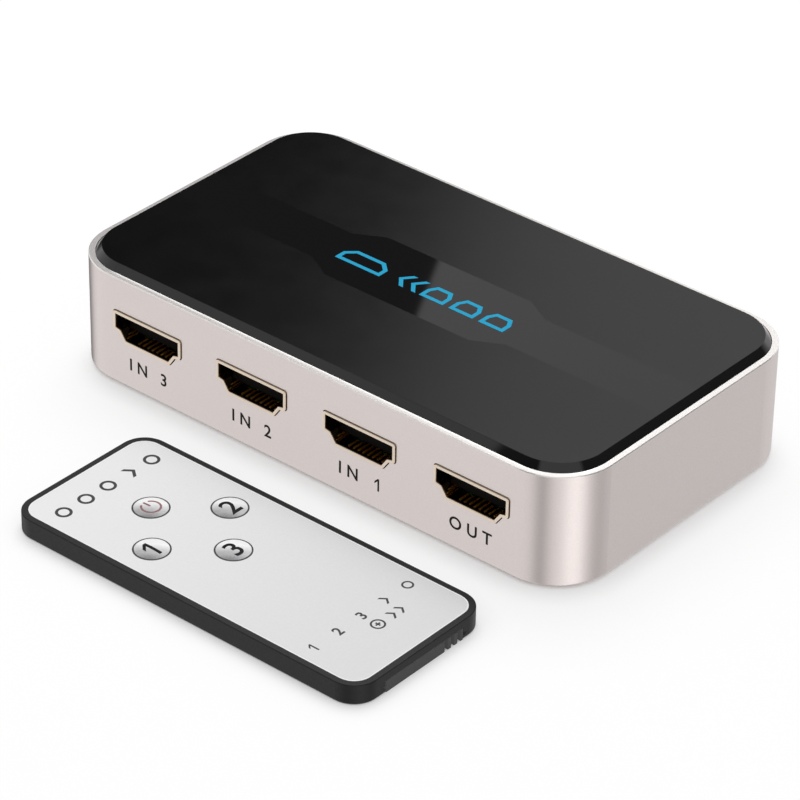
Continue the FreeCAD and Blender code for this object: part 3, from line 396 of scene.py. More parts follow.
@dataclass(frozen=True)
class ShadedInsideTube(Finish):
    """Folded sheet, pale at its mouth and outside; darker inside, as painted shade in its hollow."""

    mouth: str = "#E4D3C0"
    inside: str = "#C4A676"
    mouth_metal: float = 0.6
    inside_metal: float = 1.0
    mouth_to_mm: float = -30.38
    inside_from_mm: float = -30.15
    outside_from_mm: float = 14.3
    satin: float = 0.3
    polish: float = 0.1
    grain_mm: float = 0.2
    """Plating grain is finer than 0.01 mm; it is drawn coarser so that it shows."""
    grain_shows: float = 0.05

    def wire(self, nodes: Shading) -> Inputs:
        """The pale colour ends just behind the mouth, except on the outside of the top; beyond it is
        painted shade.

        Args:
            nodes: The material's tree.

        Returns:
            What the shader's inputs get.
        """
        apart = nodes.add("SeparateXYZ", {"Vector": nodes.places["Object"]}).outputs
        # Painted shade: the colour darkens from the mouth into the socket.
        fade = nodes.add("MapRange", {"Value": apart["Y"], "From Min": self.mouth_to_mm * MM,
                                      "From Max": self.inside_from_mm * MM})
        below = nodes.add("Math", {0: apart["Z"], 1: self.outside_from_mm * MM}, operation="LESS_THAN")
        within = nodes.add("Math", {0: fade, 1: below}, operation="MULTIPLY")
        share = nodes.unsettle(within, nodes.grain(self.grain_mm), self.grain_shows)
        return {"Base Color": nodes.blend(share, self.mouth, self.inside),
                "Metallic": nodes.blend(within, self.mouth_metal, self.inside_metal),
                "Roughness": nodes.blend(within, self.satin, self.polish)}


@dataclass(frozen=True)
class SolderMask(Finish):
    """Glass-fibre board under green lacquer, with copper tracks that shine through as a lighter green."""

    shade: str = "#0C4A26"
    track: str = "#1C6B3A"
    satin: float = 0.35
    coat: float = 0.4
    track_mm: float = 0.9
    track_bend: float = 1.5
    track_from: float = 0.55
    track_depth_mm: float = 0.035
    track_shows: float = 0.5
    bands: float = 6.3
    """Bands of the wave texture, tracks and gaps alike, in one unit of length at a scale of one."""

    def wire(self, nodes: Shading) -> Inputs:
        """Bent bands stand for the tracks, raised under the lacquer.

        Args:
            nodes: The material's tree.

        Returns:
            What the shader's inputs get.
        """
        waves = nodes.add("TexWave", {
            "Vector": nodes.places["Object"], "Scale": 1 / (self.track_mm * MM * self.bands),
            "Distortion": self.track_bend, "Detail": 0.0}).outputs["Fac"]
        track = nodes.add("Math", {0: waves, 1: self.track_from}, operation="GREATER_THAN")
        return {"Coat Weight": self.coat, "Roughness": self.satin,
                "Base Color": nodes.blend(track, self.shade, self.track),
                "Normal": nodes.bump(track, self.track_depth_mm, self.track_shows)}


@dataclass(frozen=True)
class PrintedFilm(Finish):
    """Polyester face film printed pale silver behind: smooth, with a faint fleck and painted shade along X.
    """

    near: str = "#EBEBEC"
    far: str = "#D6D6D7"
    index: float = 1.57
    satin: tuple[float, float] = (0.3, 0.38)
    start_x_mm: float = -24.0
    end_x_mm: float = 46.0
    fleck_mm: float = 0.35
    fleck_shows: float = 0.08

    def wire(self, nodes: Shading) -> Inputs:
        """The colour darkens from one end to the other as painted shade, and carries a faint fleck.

        Args:
            nodes: The material's tree.

        Returns:
            What the shader's inputs get.
        """
        along = nodes.add("SeparateXYZ", {"Vector": nodes.places["Object"]}).outputs["X"]
        # Painted shade: paler at start_x_mm, darker towards end_x_mm.
        share = nodes.add("MapRange", {"Value": along, "From Min": self.start_x_mm * MM,
                                       "From Max": self.end_x_mm * MM})
        fleck = nodes.grain(self.fleck_mm)
        mixed = nodes.unsettle(share, fleck, self.fleck_shows)
        return {"IOR": self.index, "Base Color": nodes.blend(mixed, self.near, self.far),
                "Roughness": nodes.vary(fleck, *self.satin)}


@dataclass(frozen=True)
class SilverKey(Finish):
    """Silver key cap under varnish: painted pale to one side, grey to the other, and dark at the far edge.
    """

    shade: str = "#FCFCFC"
    deep: str = "#48484C"
    # Painted shade on the steep edge of the crown that faces away.
    painted_edge_shade: str = "#2A2A2C"
    satin: tuple[float, float] = (0.3, 0.4)
    coat: float = 0.5
    coat_satin: float = 0.1
    flake_mm: float = 0.2
    flake_shows: float = 0.04
    # Direction of the painted light: slopes towards it are painted pale, slopes away painted grey.
    painted_light_from: Point = (-0.58, 0.81, 0.0)
    edge_shade_slopes: tuple[float, float] = (-0.18, -0.11)
    painted_light_slopes: tuple[float, float] = (-0.12, 0.06)
    # Slopes towards the painted light where the painted dark edge gives way to grey, and grey to pale.
    """Slopes towards the spray between which bare plastic gives way to grey, and grey to silver."""

    def wire(self, nodes: Shading) -> Inputs:
        """The crown's slope towards one direction sets painted highlight and shade; flakes show under the
        varnish.

        Args:
            nodes: The material's tree.

        Returns:
            What the shader's inputs get.
        """
        slope = nodes.add("VectorMath", {0: nodes.places["Normal"], 1: self.painted_light_from},
                          operation="DOT_PRODUCT")
        # Painted highlight and shade by slope: cover runs grey to pale, edge runs from the painted dark
        # edge to silver.
        cover, edge = (nodes.add("MapRange", {"Value": slope, "From Min": start, "From Max": full})
                       for start, full in (self.painted_light_slopes, self.edge_shade_slopes))
        flakes = nodes.grain(self.flake_mm)
        silver = nodes.blend(nodes.unsettle(cover, flakes, self.flake_shows), self.deep, self.shade)
        return {"Coat Weight": self.coat, "Coat Roughness": self.coat_satin,
                "Base Color": nodes.blend(edge, self.painted_edge_shade, silver),
                "Roughness": nodes.vary(flakes, *self.satin)}


@dataclass(frozen=True)
class ClearEpoxy(Finish):
    """Cast clear or filter-dyed epoxy: smooth, glassy, with faint flow streaks."""

    shade: str = "#E6F1F8"
    deep: str = "#DCEAF4"
    through: float = 0.7
    index: float = 1.55
    satin: tuple[float, float] = (0.06, 0.12)
    streak_mm: float = 0.8

    def wire(self, nodes: Shading) -> Inputs:
        """Glassy body with streaks in its tint.

        Args:
            nodes: The material's tree.

        Returns:
            What the shader's inputs get.
        """
        streaks = nodes.grain(self.streak_mm)
        return {"IOR": self.index, "Transmission Weight": self.through,
                "Base Color": nodes.blend(streaks, self.shade, self.deep),
                "Roughness": nodes.vary(streaks, *self.satin)}


SATIN_SHELL = AnodisedAluminium("anodised_aluminium")
GLOSS_PANEL = BlackAcrylic("black_acrylic")
COVER_PLASTIC = MouldedPlastic("abs_cover", "#1C1C1E", "#161618", 0.55)
CASE_PLASTIC = MouldedPlastic("abs_remote_case", "#1A1A1B", "#161617", 0.45, 0.25, 0.008, 0.2)
TRAY_PLASTIC = MouldedPlastic("abs_battery_tray", "#323233", "#2C2C2D", 0.4, 0.25, 0.008, 0.35)
SOCKET_PLASTIC = MouldedPlastic("liquid_crystal_polymer", "#050404", "#030202", 0.55, 0.2, 0.005, 0.05)
INNER_PLASTIC = MouldedPlastic("nylon_inner", "#161617", "#101011", 0.55)
BUTTON_PLASTIC = MouldedPlastic("abs_button", "#18181A", "#131315", 0.3, 0.4, 0.003)
PALE_PLASTIC = MouldedPlastic("acetal_plunger", "#E4E2DA", "#DAD8CF", 0.4)
CHIP_EPOXY = MouldedPlastic("chip_epoxy", "#1A1A1B", "#121213", 0.65, 0.15)
FOAM_TAPE = MouldedPlastic("foam_tape", "#E2E1DC", "#CFCEC8", 0.85, 0.4, 0.03)
RESISTOR_GLAZE = MouldedPlastic("resistor_glaze", "#15151A", "#24242B", 0.25, 0.3, 0.004)
# Socket shells: pale at the mouth, with painted shade inside.
GOLD_SHELL_SHADED_INSIDE = ShadedInsideTube("gold_shell_painted_shade")
GOLD_CONTACT = PlatedSheet("gold_contact", "#F6DA94", "#E6C478", 0.18, 0.1, metal=0.3)
NICKEL_PLATE = PlatedSheet("nickel_plate", "#D9D5CD", "#C6C2BA", 0.25)
SCREW_STEEL = PlatedSheet("zinc_plated_steel", "#C9CACD", "#B3B5B9", 0.3, 0.2, draw_out=3.0)
CELL_STEEL = PlatedSheet("stainless_cell", "#CFCFCF", "#C8C8C9", 0.34, 0.5, draw_out=3.0)
DRAWN_CAN = PlatedSheet("drawn_aluminium_can", "#D6D7D9", "#C3C4C7", 0.3, 0.2, draw_out=4.0)
FOOT_RUBBER = SoftRubber("silicone_rubber", "#1D1D1F", "#2B2B2C", 0.735)
BOARD_MASK = SolderMask("solder_mask")
FACE_FILM = PrintedFilm("polyester_film")
# Keys: silver, with painted highlight and shade over each crown.
KEY_LACQUER = SilverKey("silver_lacquer")
CLEAR_EPOXY = ClearEpoxy("clear_epoxy")
DARK_FILTER = ClearEpoxy("infrared_filter", "#2A070B", "#1E0407", 0.25)
BLACK_INK = PrintingInk("black_ink", "#0E0C0D", "#141213", gloss=0.1)
BLUE_INK = PrintingInk("blue_ink", "#07A0CA", "#0698C0", gloss=0.15)
RED_INK = PrintingInk("red_ink", "#906468", "#885C60")
# Grey print, also used for the rings of painted shade round the keys.
GREY_INK_AND_SHADE = PrintingInk("grey_ink_and_painted_shade", "#2C2C2E", "#38383A")
# Painted highlight along the edge of the film.
PAINTED_EDGE_HIGHLIGHT = PrintingInk("painted_edge_highlight", "#F4F4F4", "#EEEEEE")

BOX_FINISHES: dict[str, Finish] = {
    "housing": SATIN_SHELL, "top_panel": GLOSS_PANEL, "panel_tape": FOAM_TAPE,
    "bottom_cover": COVER_PLASTIC, "cover_screws": SCREW_STEEL, "rubber_feet": FOOT_RUBBER,
    "main_board": BOARD_MASK, "board_screws": SCREW_STEEL,
    "switch_chip": CHIP_EPOXY, "controller_chip": CHIP_EPOXY,
    "regulator": CHIP_EPOXY, "capacitors": DRAWN_CAN, "line_resistors": RESISTOR_GLAZE,
    "select_button": BUTTON_PLASTIC, "select_switch": INNER_PLASTIC, "switch_plunger": PALE_PLASTIC,
    "led_holder": INNER_PLASTIC, "indicator_leds": CLEAR_EPOXY, "ir_window": DARK_FILTER,
    "ir_receiver": INNER_PLASTIC, "power_jack": INNER_PLASTIC, "power_jack_pin": NICKEL_PLATE,
    "power_jack_terminals": NICKEL_PLATE,
}
SOCKET_FINISHES: dict[str, Finish] = {
    "socket_shell": GOLD_SHELL_SHADED_INSIDE, "socket_insulator": SOCKET_PLASTIC, "socket_contacts": GOLD_CONTACT,
}
REMOTE_FINISHES: dict[str, Finish] = {
    "remote_case": CASE_PLASTIC, "remote_deck": INNER_PLASTIC, "remote_overlay": FACE_FILM,
    "key_power": KEY_LACQUER, "key_1": KEY_LACQUER, "key_2": KEY_LACQUER, "key_3": KEY_LACQUER,
    "remote_board": BOARD_MASK, "key_domes": NICKEL_PLATE, "remote_chip": CHIP_EPOXY,
    "remote_diode": CLEAR_EPOXY, "battery_tray": TRAY_PLASTIC, "coin_cell": CELL_STEEL,
    "cell_contacts": NICKEL_PLATE,
}


# Surfaces, worked out as whole arrays

@dataclass(frozen=True)
class Surface:
    """Points and faces of a closed slab: millimetres across, and one unit thick."""

    points: np.ndarray
    faces: list[list[int]]

    def moved(self, x: float, y: float) -> "Surface":
        """The shape moved by x and y."""
        return Surface(self.points + np.array([x, y, 0.0]), self.faces)


def joined(*shapes: Surface) -> Surface:
    """Several shapes as one.

    Args:
        shapes: The shapes.

    Returns:
        All their points and faces, in order.
    """
    starts = np.cumsum([0] + [len(shape.points) for shape in shapes])
    faces = [[int(start) + index for index in face]
             for shape, start in zip(shapes, starts) for face in shape.faces]
    return Surface(np.vstack([shape.points for shape in shapes]), faces)


def in_row(*placed: tuple[Surface, float]) -> Surface:
    """Shapes as one, each moved to the right by its own distance."""
    return joined(*(shape.moved(x, 0) for shape, x in placed))


def loop_faces(rings: int, count: int, closed: bool) -> list[list[int]]:
    """Quads between rings of points.

    The quad at ring i and place j joins j and its next place on ring i to those on ring i + 1.

    Args:
        rings: Number of rings.
        count: Points on each ring, which closes on itself.
        closed: Whether the last ring joins the first.

    Returns:
        Faces that point outwards where rings run upwards and turn anticlockwise.
    """
    ring, place = np.meshgrid(np.arange(rings if closed else rings - 1), np.arange(count), indexing="ij")
    above, beside = (ring + 1) % rings, (place + 1) % count
    quads = np.stack([ring * count + place, ring * count + beside, above * count + beside,
                      above * count + place], axis=-1)
    return quads.reshape(-1, 4).tolist()


def prism(outline: np.ndarray) -> Surface:
    """Carry a flat outline straight up.

    Each outline point gives one at height 0 and one at height 1.

    Args:
        outline: Anticlockwise points, one row each.

    Returns:
        The closed slab.
    """
    count = len(outline)
    levels = np.repeat([0.0, 1.0], count)
    points = np.column_stack([np.tile(outline, (2, 1)), levels])
    caps = [list(range(count))[::-1], list(range(count, 2 * count))]
    return Surface(points, loop_faces(2, count, False) + caps)


def turned_ring(inner: float, outer: float, aside: tuple[float, float] = (0.0, 0.0),
                segments: int = 96) -> Surface:
    """Carry a rectangle round the Z axis.

    A point of the rectangle at radius r and height h goes to (r cos t, r sin t, h); the outer ones then
    move aside, which makes the ring thicker on that side.

    Args:
        inner: Inner radius.
        outer: Outer radius.
        aside: How far the outer circle lies off the inner one.
        segments: Steps of the full turn.

    Returns:
        The closed ring.
    """
    turn = np.linspace(0, 2 * np.pi, segments, endpoint=False)
    radius = np.array([outer, outer, inner, inner])[:, None]
    height = np.array([0, 1, 1, 0])[:, None]
    points = np.stack([radius * np.cos(turn), radius * np.sin(turn), height + 0 * turn], axis=-1)
    points[:2, :, :2] += aside
    return Surface(points.reshape(-1, 3), loop_faces(4, segments, True))


def arc_stroke(radius: float, width: float, start: float, end: float, steps: int = 48) -> np.ndarray:
    """Outline of a stroke along an arc with round ends.

    The outer edge runs at radius plus half the width, the inner edge back at radius less half of it, and
    a half circle closes each end.

    Args:
        radius: Radius of the stroke's middle.
        width: Its width.
        start: First angle, in radians.
        end: Last angle.
        steps: Points on each edge.

    Returns:
        Anticlockwise outline.
    """
    turn = np.linspace(start, end, steps)
    cap = np.linspace(0, np.pi, steps // 4)[1:-1]
    outer = (radius + width / 2) * np.column_stack([np.cos(turn), np.sin(turn)])
    inner = (radius - width / 2) * np.column_stack([np.cos(turn[::-1]), np.sin(turn[::-1])])
    last = radius * np.array([math.cos(end), math.sin(end)])
    first = radius * np.array([math.cos(start), math.sin(start)])
    far_cap = last + width / 2 * np.column_stack([np.cos(end + cap), np.sin(end + cap)])
    back = start + np.pi + cap
    near_cap = first + width / 2 * np.column_stack([np.cos(back), np.sin(back)])
    return np.vstack([outer, far_cap, inner, near_cap])


def rounded_bar(length: float, width: float, radius: float, steps: int = 8) -> np.ndarray:
    """Outline of a bar with round corners, centred.

    Each corner is a quarter circle about a centre that lies in from both edges by the radius.

    Args:
        length: Size to the right.
        width: Size upwards.
        radius: Corner radius.
        steps: Points on each corner.

    Returns:
        Anticlockwise outline.
    """
    corner = np.repeat([0, 1, 2, 3], steps)
    turn = (corner + np.tile(np.linspace(0, 1, steps), 4)) * np.pi / 2
    side_x = np.where((corner == 0) | (corner == 3), 1, -1) * (length / 2 - radius)
    side_y = np.where(corner < 2, 1, -1) * (width / 2 - radius)
    return np.column_stack([side_x + radius * np.cos(turn), side_y + radius * np.sin(turn)])


def band(outline: np.ndarray, width: float) -> Surface:
    """A closed stroke just inside an outline.

    Each inner point is the outer one moved along the sum of the inward directions of its two edges,
    divided by one plus their product, times the width, which keeps the stroke even round corners.

    Args:
        outline: Anticlockwise points, one row each.
        width: Width of the stroke, in millimetres.

    Returns:
        The closed stroke.
    """
    ahead = np.roll(outline, -1, axis=0) - outline
    ahead /= np.linalg.norm(ahead, axis=1, keepdims=True)
    inward = np.column_stack([-ahead[:, 1], ahead[:, 0]])
    before = np.roll(inward, 1, axis=0)
    product = np.sum(inward * before, axis=1, keepdims=True)
    inner = outline + width * (inward + before) / (1 + product)
    rings = np.stack([outline, outline, inner, inner])
    height = np.array([0, 1, 1, 0])[:, None, None] + 0 * rings[:, :, :1]
    points = np.concatenate([rings, height], axis=2).reshape(-1, 3)
    return Surface(points, loop_faces(4, len(outline), True))


def taken(mesh: bpy.types.Mesh) -> Surface:
    """Read a mesh's points and faces, and remove the mesh.

    Args:
        mesh: The mesh.

    Returns:
        Its shape.
    """
    points = np.empty(len(mesh.vertices) * 3)
    mesh.vertices.foreach_get("co", points)
    faces = [list(polygon.vertices) for polygon in mesh.polygons]
    bpy.data.meshes.remove(mesh)
    return Surface(points.reshape(-1, 3), faces)


def diced(shape: Surface, step: float) -> Surface:
    """Cut a shape along a square grid, so that it can follow a curved face.

    Args:
        shape: The shape.
        step: Size of the grid, in millimetres.

    Returns:
        The same shape with smaller faces.
    """
    whole = bpy.data.meshes.new("whole")
    whole.from_pydata(shape.points.tolist(), [], shape.faces)
    cutting = bmesh.new()
    cutting.from_mesh(whole)
    for axis, normal in enumerate(((1, 0, 0), (0, 1, 0))):
        low, high = shape.points[:, axis].min(), shape.points[:, axis].max()
        for at in np.arange(low + step, high, step):
            parts = cutting.verts[:] + cutting.edges[:] + cutting.faces[:]
            bmesh.ops.bisect_plane(cutting, geom=parts, plane_co=Vector(normal) * at, plane_no=normal)
    cutting.to_mesh(whole)
    cutting.free()
    return taken(whole)


# Signs that can be printed

def lettering(words: str, height: float, spacing: float = 1.0, weight: float = 0.0) -> Surface:
    """Letters as a flat slab, centred, with a given height of its capitals.

    Args:
        words: What it says.
        height: Height of the capitals, in millimetres.
        spacing: Share of the usual spacing between letters.
        weight: How much the strokes are widened, as a share of the letters' size.

    Returns:
        The letters as one shape.
    """
    half_depth = 0.5
    curve_steps = 6
    curve = bpy.data.curves.new("letters", "FONT")
    curve.body = words
    curve.space_character = spacing
    curve.offset = weight
    curve.extrude = half_depth
    curve.resolution_u = curve_steps
    carrier = bpy.data.objects.new("letters", curve)
    bpy.context.scene.collection.objects.link(carrier)
    bpy.context.view_layer.update()
    mesh = bpy.data.meshes.new_from_object(carrier.evaluated_get(bpy.context.evaluated_depsgraph_get()))
    bpy.data.objects.remove(carrier)
    bpy.data.curves.remove(curve)
    shape = taken(mesh)
    low, high = shape.points.min(0), shape.points.max(0)
    scale = height / (high[1] - low[1])
    flat = (shape.points[:, :2] - (low[:2] + high[:2]) / 2) * scale
    return Surface(np.column_stack([flat, shape.points[:, 2] + half_depth]), shape.faces)


def figure(digit: str, height: float, stroke: float, weight: float = 0.0) -> Surface:
    """A digit; the one is drawn here, because the font's has no flag.

    The one is an upright stroke whose flag falls to the left by a share of the height.

    Args:
        digit: The digit.
        height: Its height, in millimetres.
        stroke: Width of the one's stroke.
        weight: How much the strokes of the other digits are widened, as a share of their size.

    Returns:
        The digit, centred, or the one with its upright centred.
    """
    if digit != "1":
        return lettering(digit, height, weight=weight)
    flag_share = 0.27
    flag_width = 1.25
    half, high, flag, drop = stroke / 2, height / 2, height * flag_share, stroke * flag_width
    tip = high - flag
    outline = np.array([(-half, -high), (half, -high), (half, high), (-half, high), (-half - flag, tip),
                        (-half - flag, tip - drop), (-half, high - drop)])
    return prism(outline)


def chevron(height: float, arm: float) -> Surface:
    """A chevron that points to the right.

    Args:
        height: Its height, in millimetres.
        arm: Width of its arms, measured to the right.

    Returns:
        The closed chevron, its open side at zero.
    """
    reach_share = 0.4
    half, reach = height / 2, height * reach_share
    outline = np.array([(0, -half), (arm, -half), (arm + reach, 0), (arm, half), (0, half), (reach, 0)])
    return prism(outline)


def plus(width: float, stroke: float) -> Surface:
    """A plus sign: the corners of one arm, turned by quarters.

    Args:
        width: Its width, in millimetres.
        stroke: Width of its strokes.

    Returns:
        The closed sign, centred.
    """
    reach, thin = width / 2, stroke / 2
    arm = np.array([(reach, -thin), (reach, thin), (thin, thin)])
    quarter = np.array([(0, -1), (1, 0)])
    return prism(np.vstack([arm @ np.linalg.matrix_power(quarter.T, turn) for turn in range(4)]))


# The object's pieces

class Materials:
    """Finishes made once each."""

    def __init__(self) -> None:
        """Start with none."""
        self.made: dict[str, bpy.types.Material] = {}

    def of(self, finish: Finish) -> bpy.types.Material:
        """The finish's material, made at its first use.

        Args:
            finish: What the surface is.

        Returns:
            The material.
        """
        if finish.name not in self.made:
            self.made[finish.name] = finish.build()
        return self.made[finish.name]

    def dress(self, node: str, finish: Finish) -> None:
        """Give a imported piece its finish.

        Args:
            node: The piece's name.
            finish: What its surface is.
        """
        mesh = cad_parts[node].data
        if not mesh.materials:
            mesh.materials.append(self.of(finish))
        for index in range(len(mesh.materials)):
            mesh.materials[index] = self.of(finish)
        LOG.info("dressed %s in %s", node, finish.name)


@dataclass
class Mark:
    """A printed mark: a thin slab of ink on a face of the object."""

    name: str
    shape: Surface
    finish: Finish
    facing: Facing
    place_mm: Point
    body: Body
    slot: str
    ink_mm: float = 0.02
    crown_mm: float = 0.0
    crown_radius_mm: float = 1.0

    def build(self, materials: Materials) -> None:
        """Make the mark's mesh in place and let it ride on its body.

        The slab's height becomes the ink's thickness.  On a crowned face each point is lowered by the
        crown times the square of its share of the crown's radius, which follows the curve closely.

        Args:
            materials: The finishes that are already made.
        """
        right, up = (np.array(axis, float) for axis in self.facing.value)
        points = self.shape.points.copy()
        share = np.hypot(points[:, 0], points[:, 1]) / self.crown_radius_mm
        points[:, 2] = points[:, 2] * self.ink_mm - self.crown_mm * share ** 2
        world = np.array(self.place_mm) + points @ np.vstack([right, up, np.cross(right, up)])
        mesh = bpy.data.meshes.new(self.name)
        mesh.from_pydata((world * MM).tolist(), [], self.shape.faces)
        mesh.validate()
        mesh.materials.append(materials.of(self.finish))
        piece = bpy.data.objects.new(self.name, mesh)
        piece.visible_glossy = self.body is Body.SWITCH
        bpy.context.scene.collection.objects.link(piece)
        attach(piece, self.body.value)
        LOG.info("mark %s on %s", self.name, self.body.value)


@dataclass
class SwitchBox:
    """The box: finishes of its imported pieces, and the marks on its front, top and back."""

    materials: Materials
    labels: tuple[str, ...] = ("IN 3", "IN 2", "IN 1", "OUT")
    label_height_mm: float = 2.3
    label_z_mm: float = 5.3
    label_spacing: float = 1.6
    label_weight: float = 0.015
    label_stroke_mm: float = 0.34
    front_y_mm: float = -30.175
    back_y_mm: float = 30.175
    top_z_mm: float = 22.0
    sign_y_mm: float = -0.9
    sign_height_mm: float = 3.9
    sign_width_mm: float = 5.0
    sign_stroke_mm: float = 0.75
    sign_foot_share: float = 0.62
    sign_shoulder_share: float = 0.15
    sign_pitch_mm: float = 6.2
    sign_start_mm: float = -15.2
    wide_sign: float = 1.9
    arrow_arm_mm: float = 0.9
    arrow_pitch_mm: float = 2.6
    lamps: int = 3
    lamp_inset_mm: float = 1.0
    lamp_digit_mm: float = 1.7
    lamp_stroke_mm: float = 0.2
    lamp_digit_z_mm: float = 15.2

    def dress(self) -> None:
        """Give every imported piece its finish."""
        for node, finish in BOX_FINISHES.items():
            self.materials.dress(node, finish)
        for number in range(1, len(self.labels) + 1):
            for stem, finish in SOCKET_FINISHES.items():
                self.materials.dress(f"{stem}_{number}", finish)

    def letters(self, words: str) -> Surface:
        """Words in the size and weight of the labels."""
        return lettering(words, self.label_height_mm, self.label_spacing, self.label_weight)

    def label(self, words: str) -> Surface:
        """A label, as wide as its neighbour where it ends in a one.

        Args:
            words: What it says.

        Returns:
            The label, centred.
        """
        if not words.endswith("1"):
            return self.letters(words)
        reach = self.letters(words[:-1] + "2").points[:, 0].max()
        word = self.letters(words[:-2])
        one = figure("1", self.label_height_mm, self.label_stroke_mm)
        return in_row((word, -reach - word.points[:, 0].min()), (one, reach - one.points[:, 0].max()))

    def socket_labels(self) -> None:
        """A short generic word under each socket, centred on it."""
        for number, words in enumerate(self.labels, start=1):
            low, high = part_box(f"socket_shell_{number}")
            place = ((low.x + high.x) / 2 / MM, self.front_y_mm, self.label_z_mm)
            name = "label_" + words.lower().replace(" ", "_")
            Mark(name, self.label(words), BLACK_INK, Facing.FRONT, place, Body.SWITCH,
                 "silver_shell").build(self.materials)

    def plug_sign(self, width: float) -> Surface:
        """A plug's nose seen from the front: a bar with its two lower corners cut off.

        Args:
            width: Its width, in millimetres.

        Returns:
            A closed stroke along its edge.
        """
        half, high = width / 2, self.sign_height_mm / 2
        foot, shoulder = half * self.sign_foot_share, -high * self.sign_shoulder_share
        outline = np.array([(-foot, -high), (foot, -high), (half, shoulder), (half, high), (-half, high),
                            (-half, shoulder)])
        return band(outline, self.sign_stroke_mm)

    def top_sign(self) -> None:
        """Three small plug noses, two chevrons and one wide nose, in a row: three in, one out."""
        start, pitch, width = self.sign_start_mm, self.sign_pitch_mm, self.sign_width_mm
        small = self.plug_sign(width)
        wide = self.plug_sign(width * self.wide_sign)
        arrow = chevron(self.sign_height_mm, self.arrow_arm_mm)
        arrow_x = start + 2 * pitch + width / 2 + self.sign_stroke_mm
        wide_x = -start - width * (self.wide_sign - 1) / 2
        row = in_row((small, start), (small, start + pitch), (small, start + 2 * pitch), (arrow, arrow_x),
                     (arrow, arrow_x + self.arrow_pitch_mm), (wide, wide_x))
        place = (0, self.sign_y_mm, self.top_z_mm)
        Mark("top_sign", row, BLUE_INK, Facing.TOP_FROM_BACK, place, Body.SWITCH,
             "gloss_panel").build(self.materials)

    def lamp_digits(self) -> None:
        """A digit above each indicator on the back, counted from the side where +X is."""
        low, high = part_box("indicator_leds")
        first, last = low.x / MM + self.lamp_inset_mm, high.x / MM - self.lamp_inset_mm
        for number, x in enumerate(np.linspace(last, first, self.lamps), start=1):
            shape = figure(str(number), self.lamp_digit_mm, self.lamp_stroke_mm)
            place = (float(x), self.back_y_mm, self.lamp_digit_z_mm)
            Mark(f"lamp_digit_{number}", shape, BLACK_INK, Facing.BACK, place, Body.SWITCH,
                 "silver_shell").build(self.materials)

    def build(self) -> None:
        """Dress the box and print its marks."""
        self.dress()
        self.socket_labels()
        self.top_sign()
        self.lamp_digits()


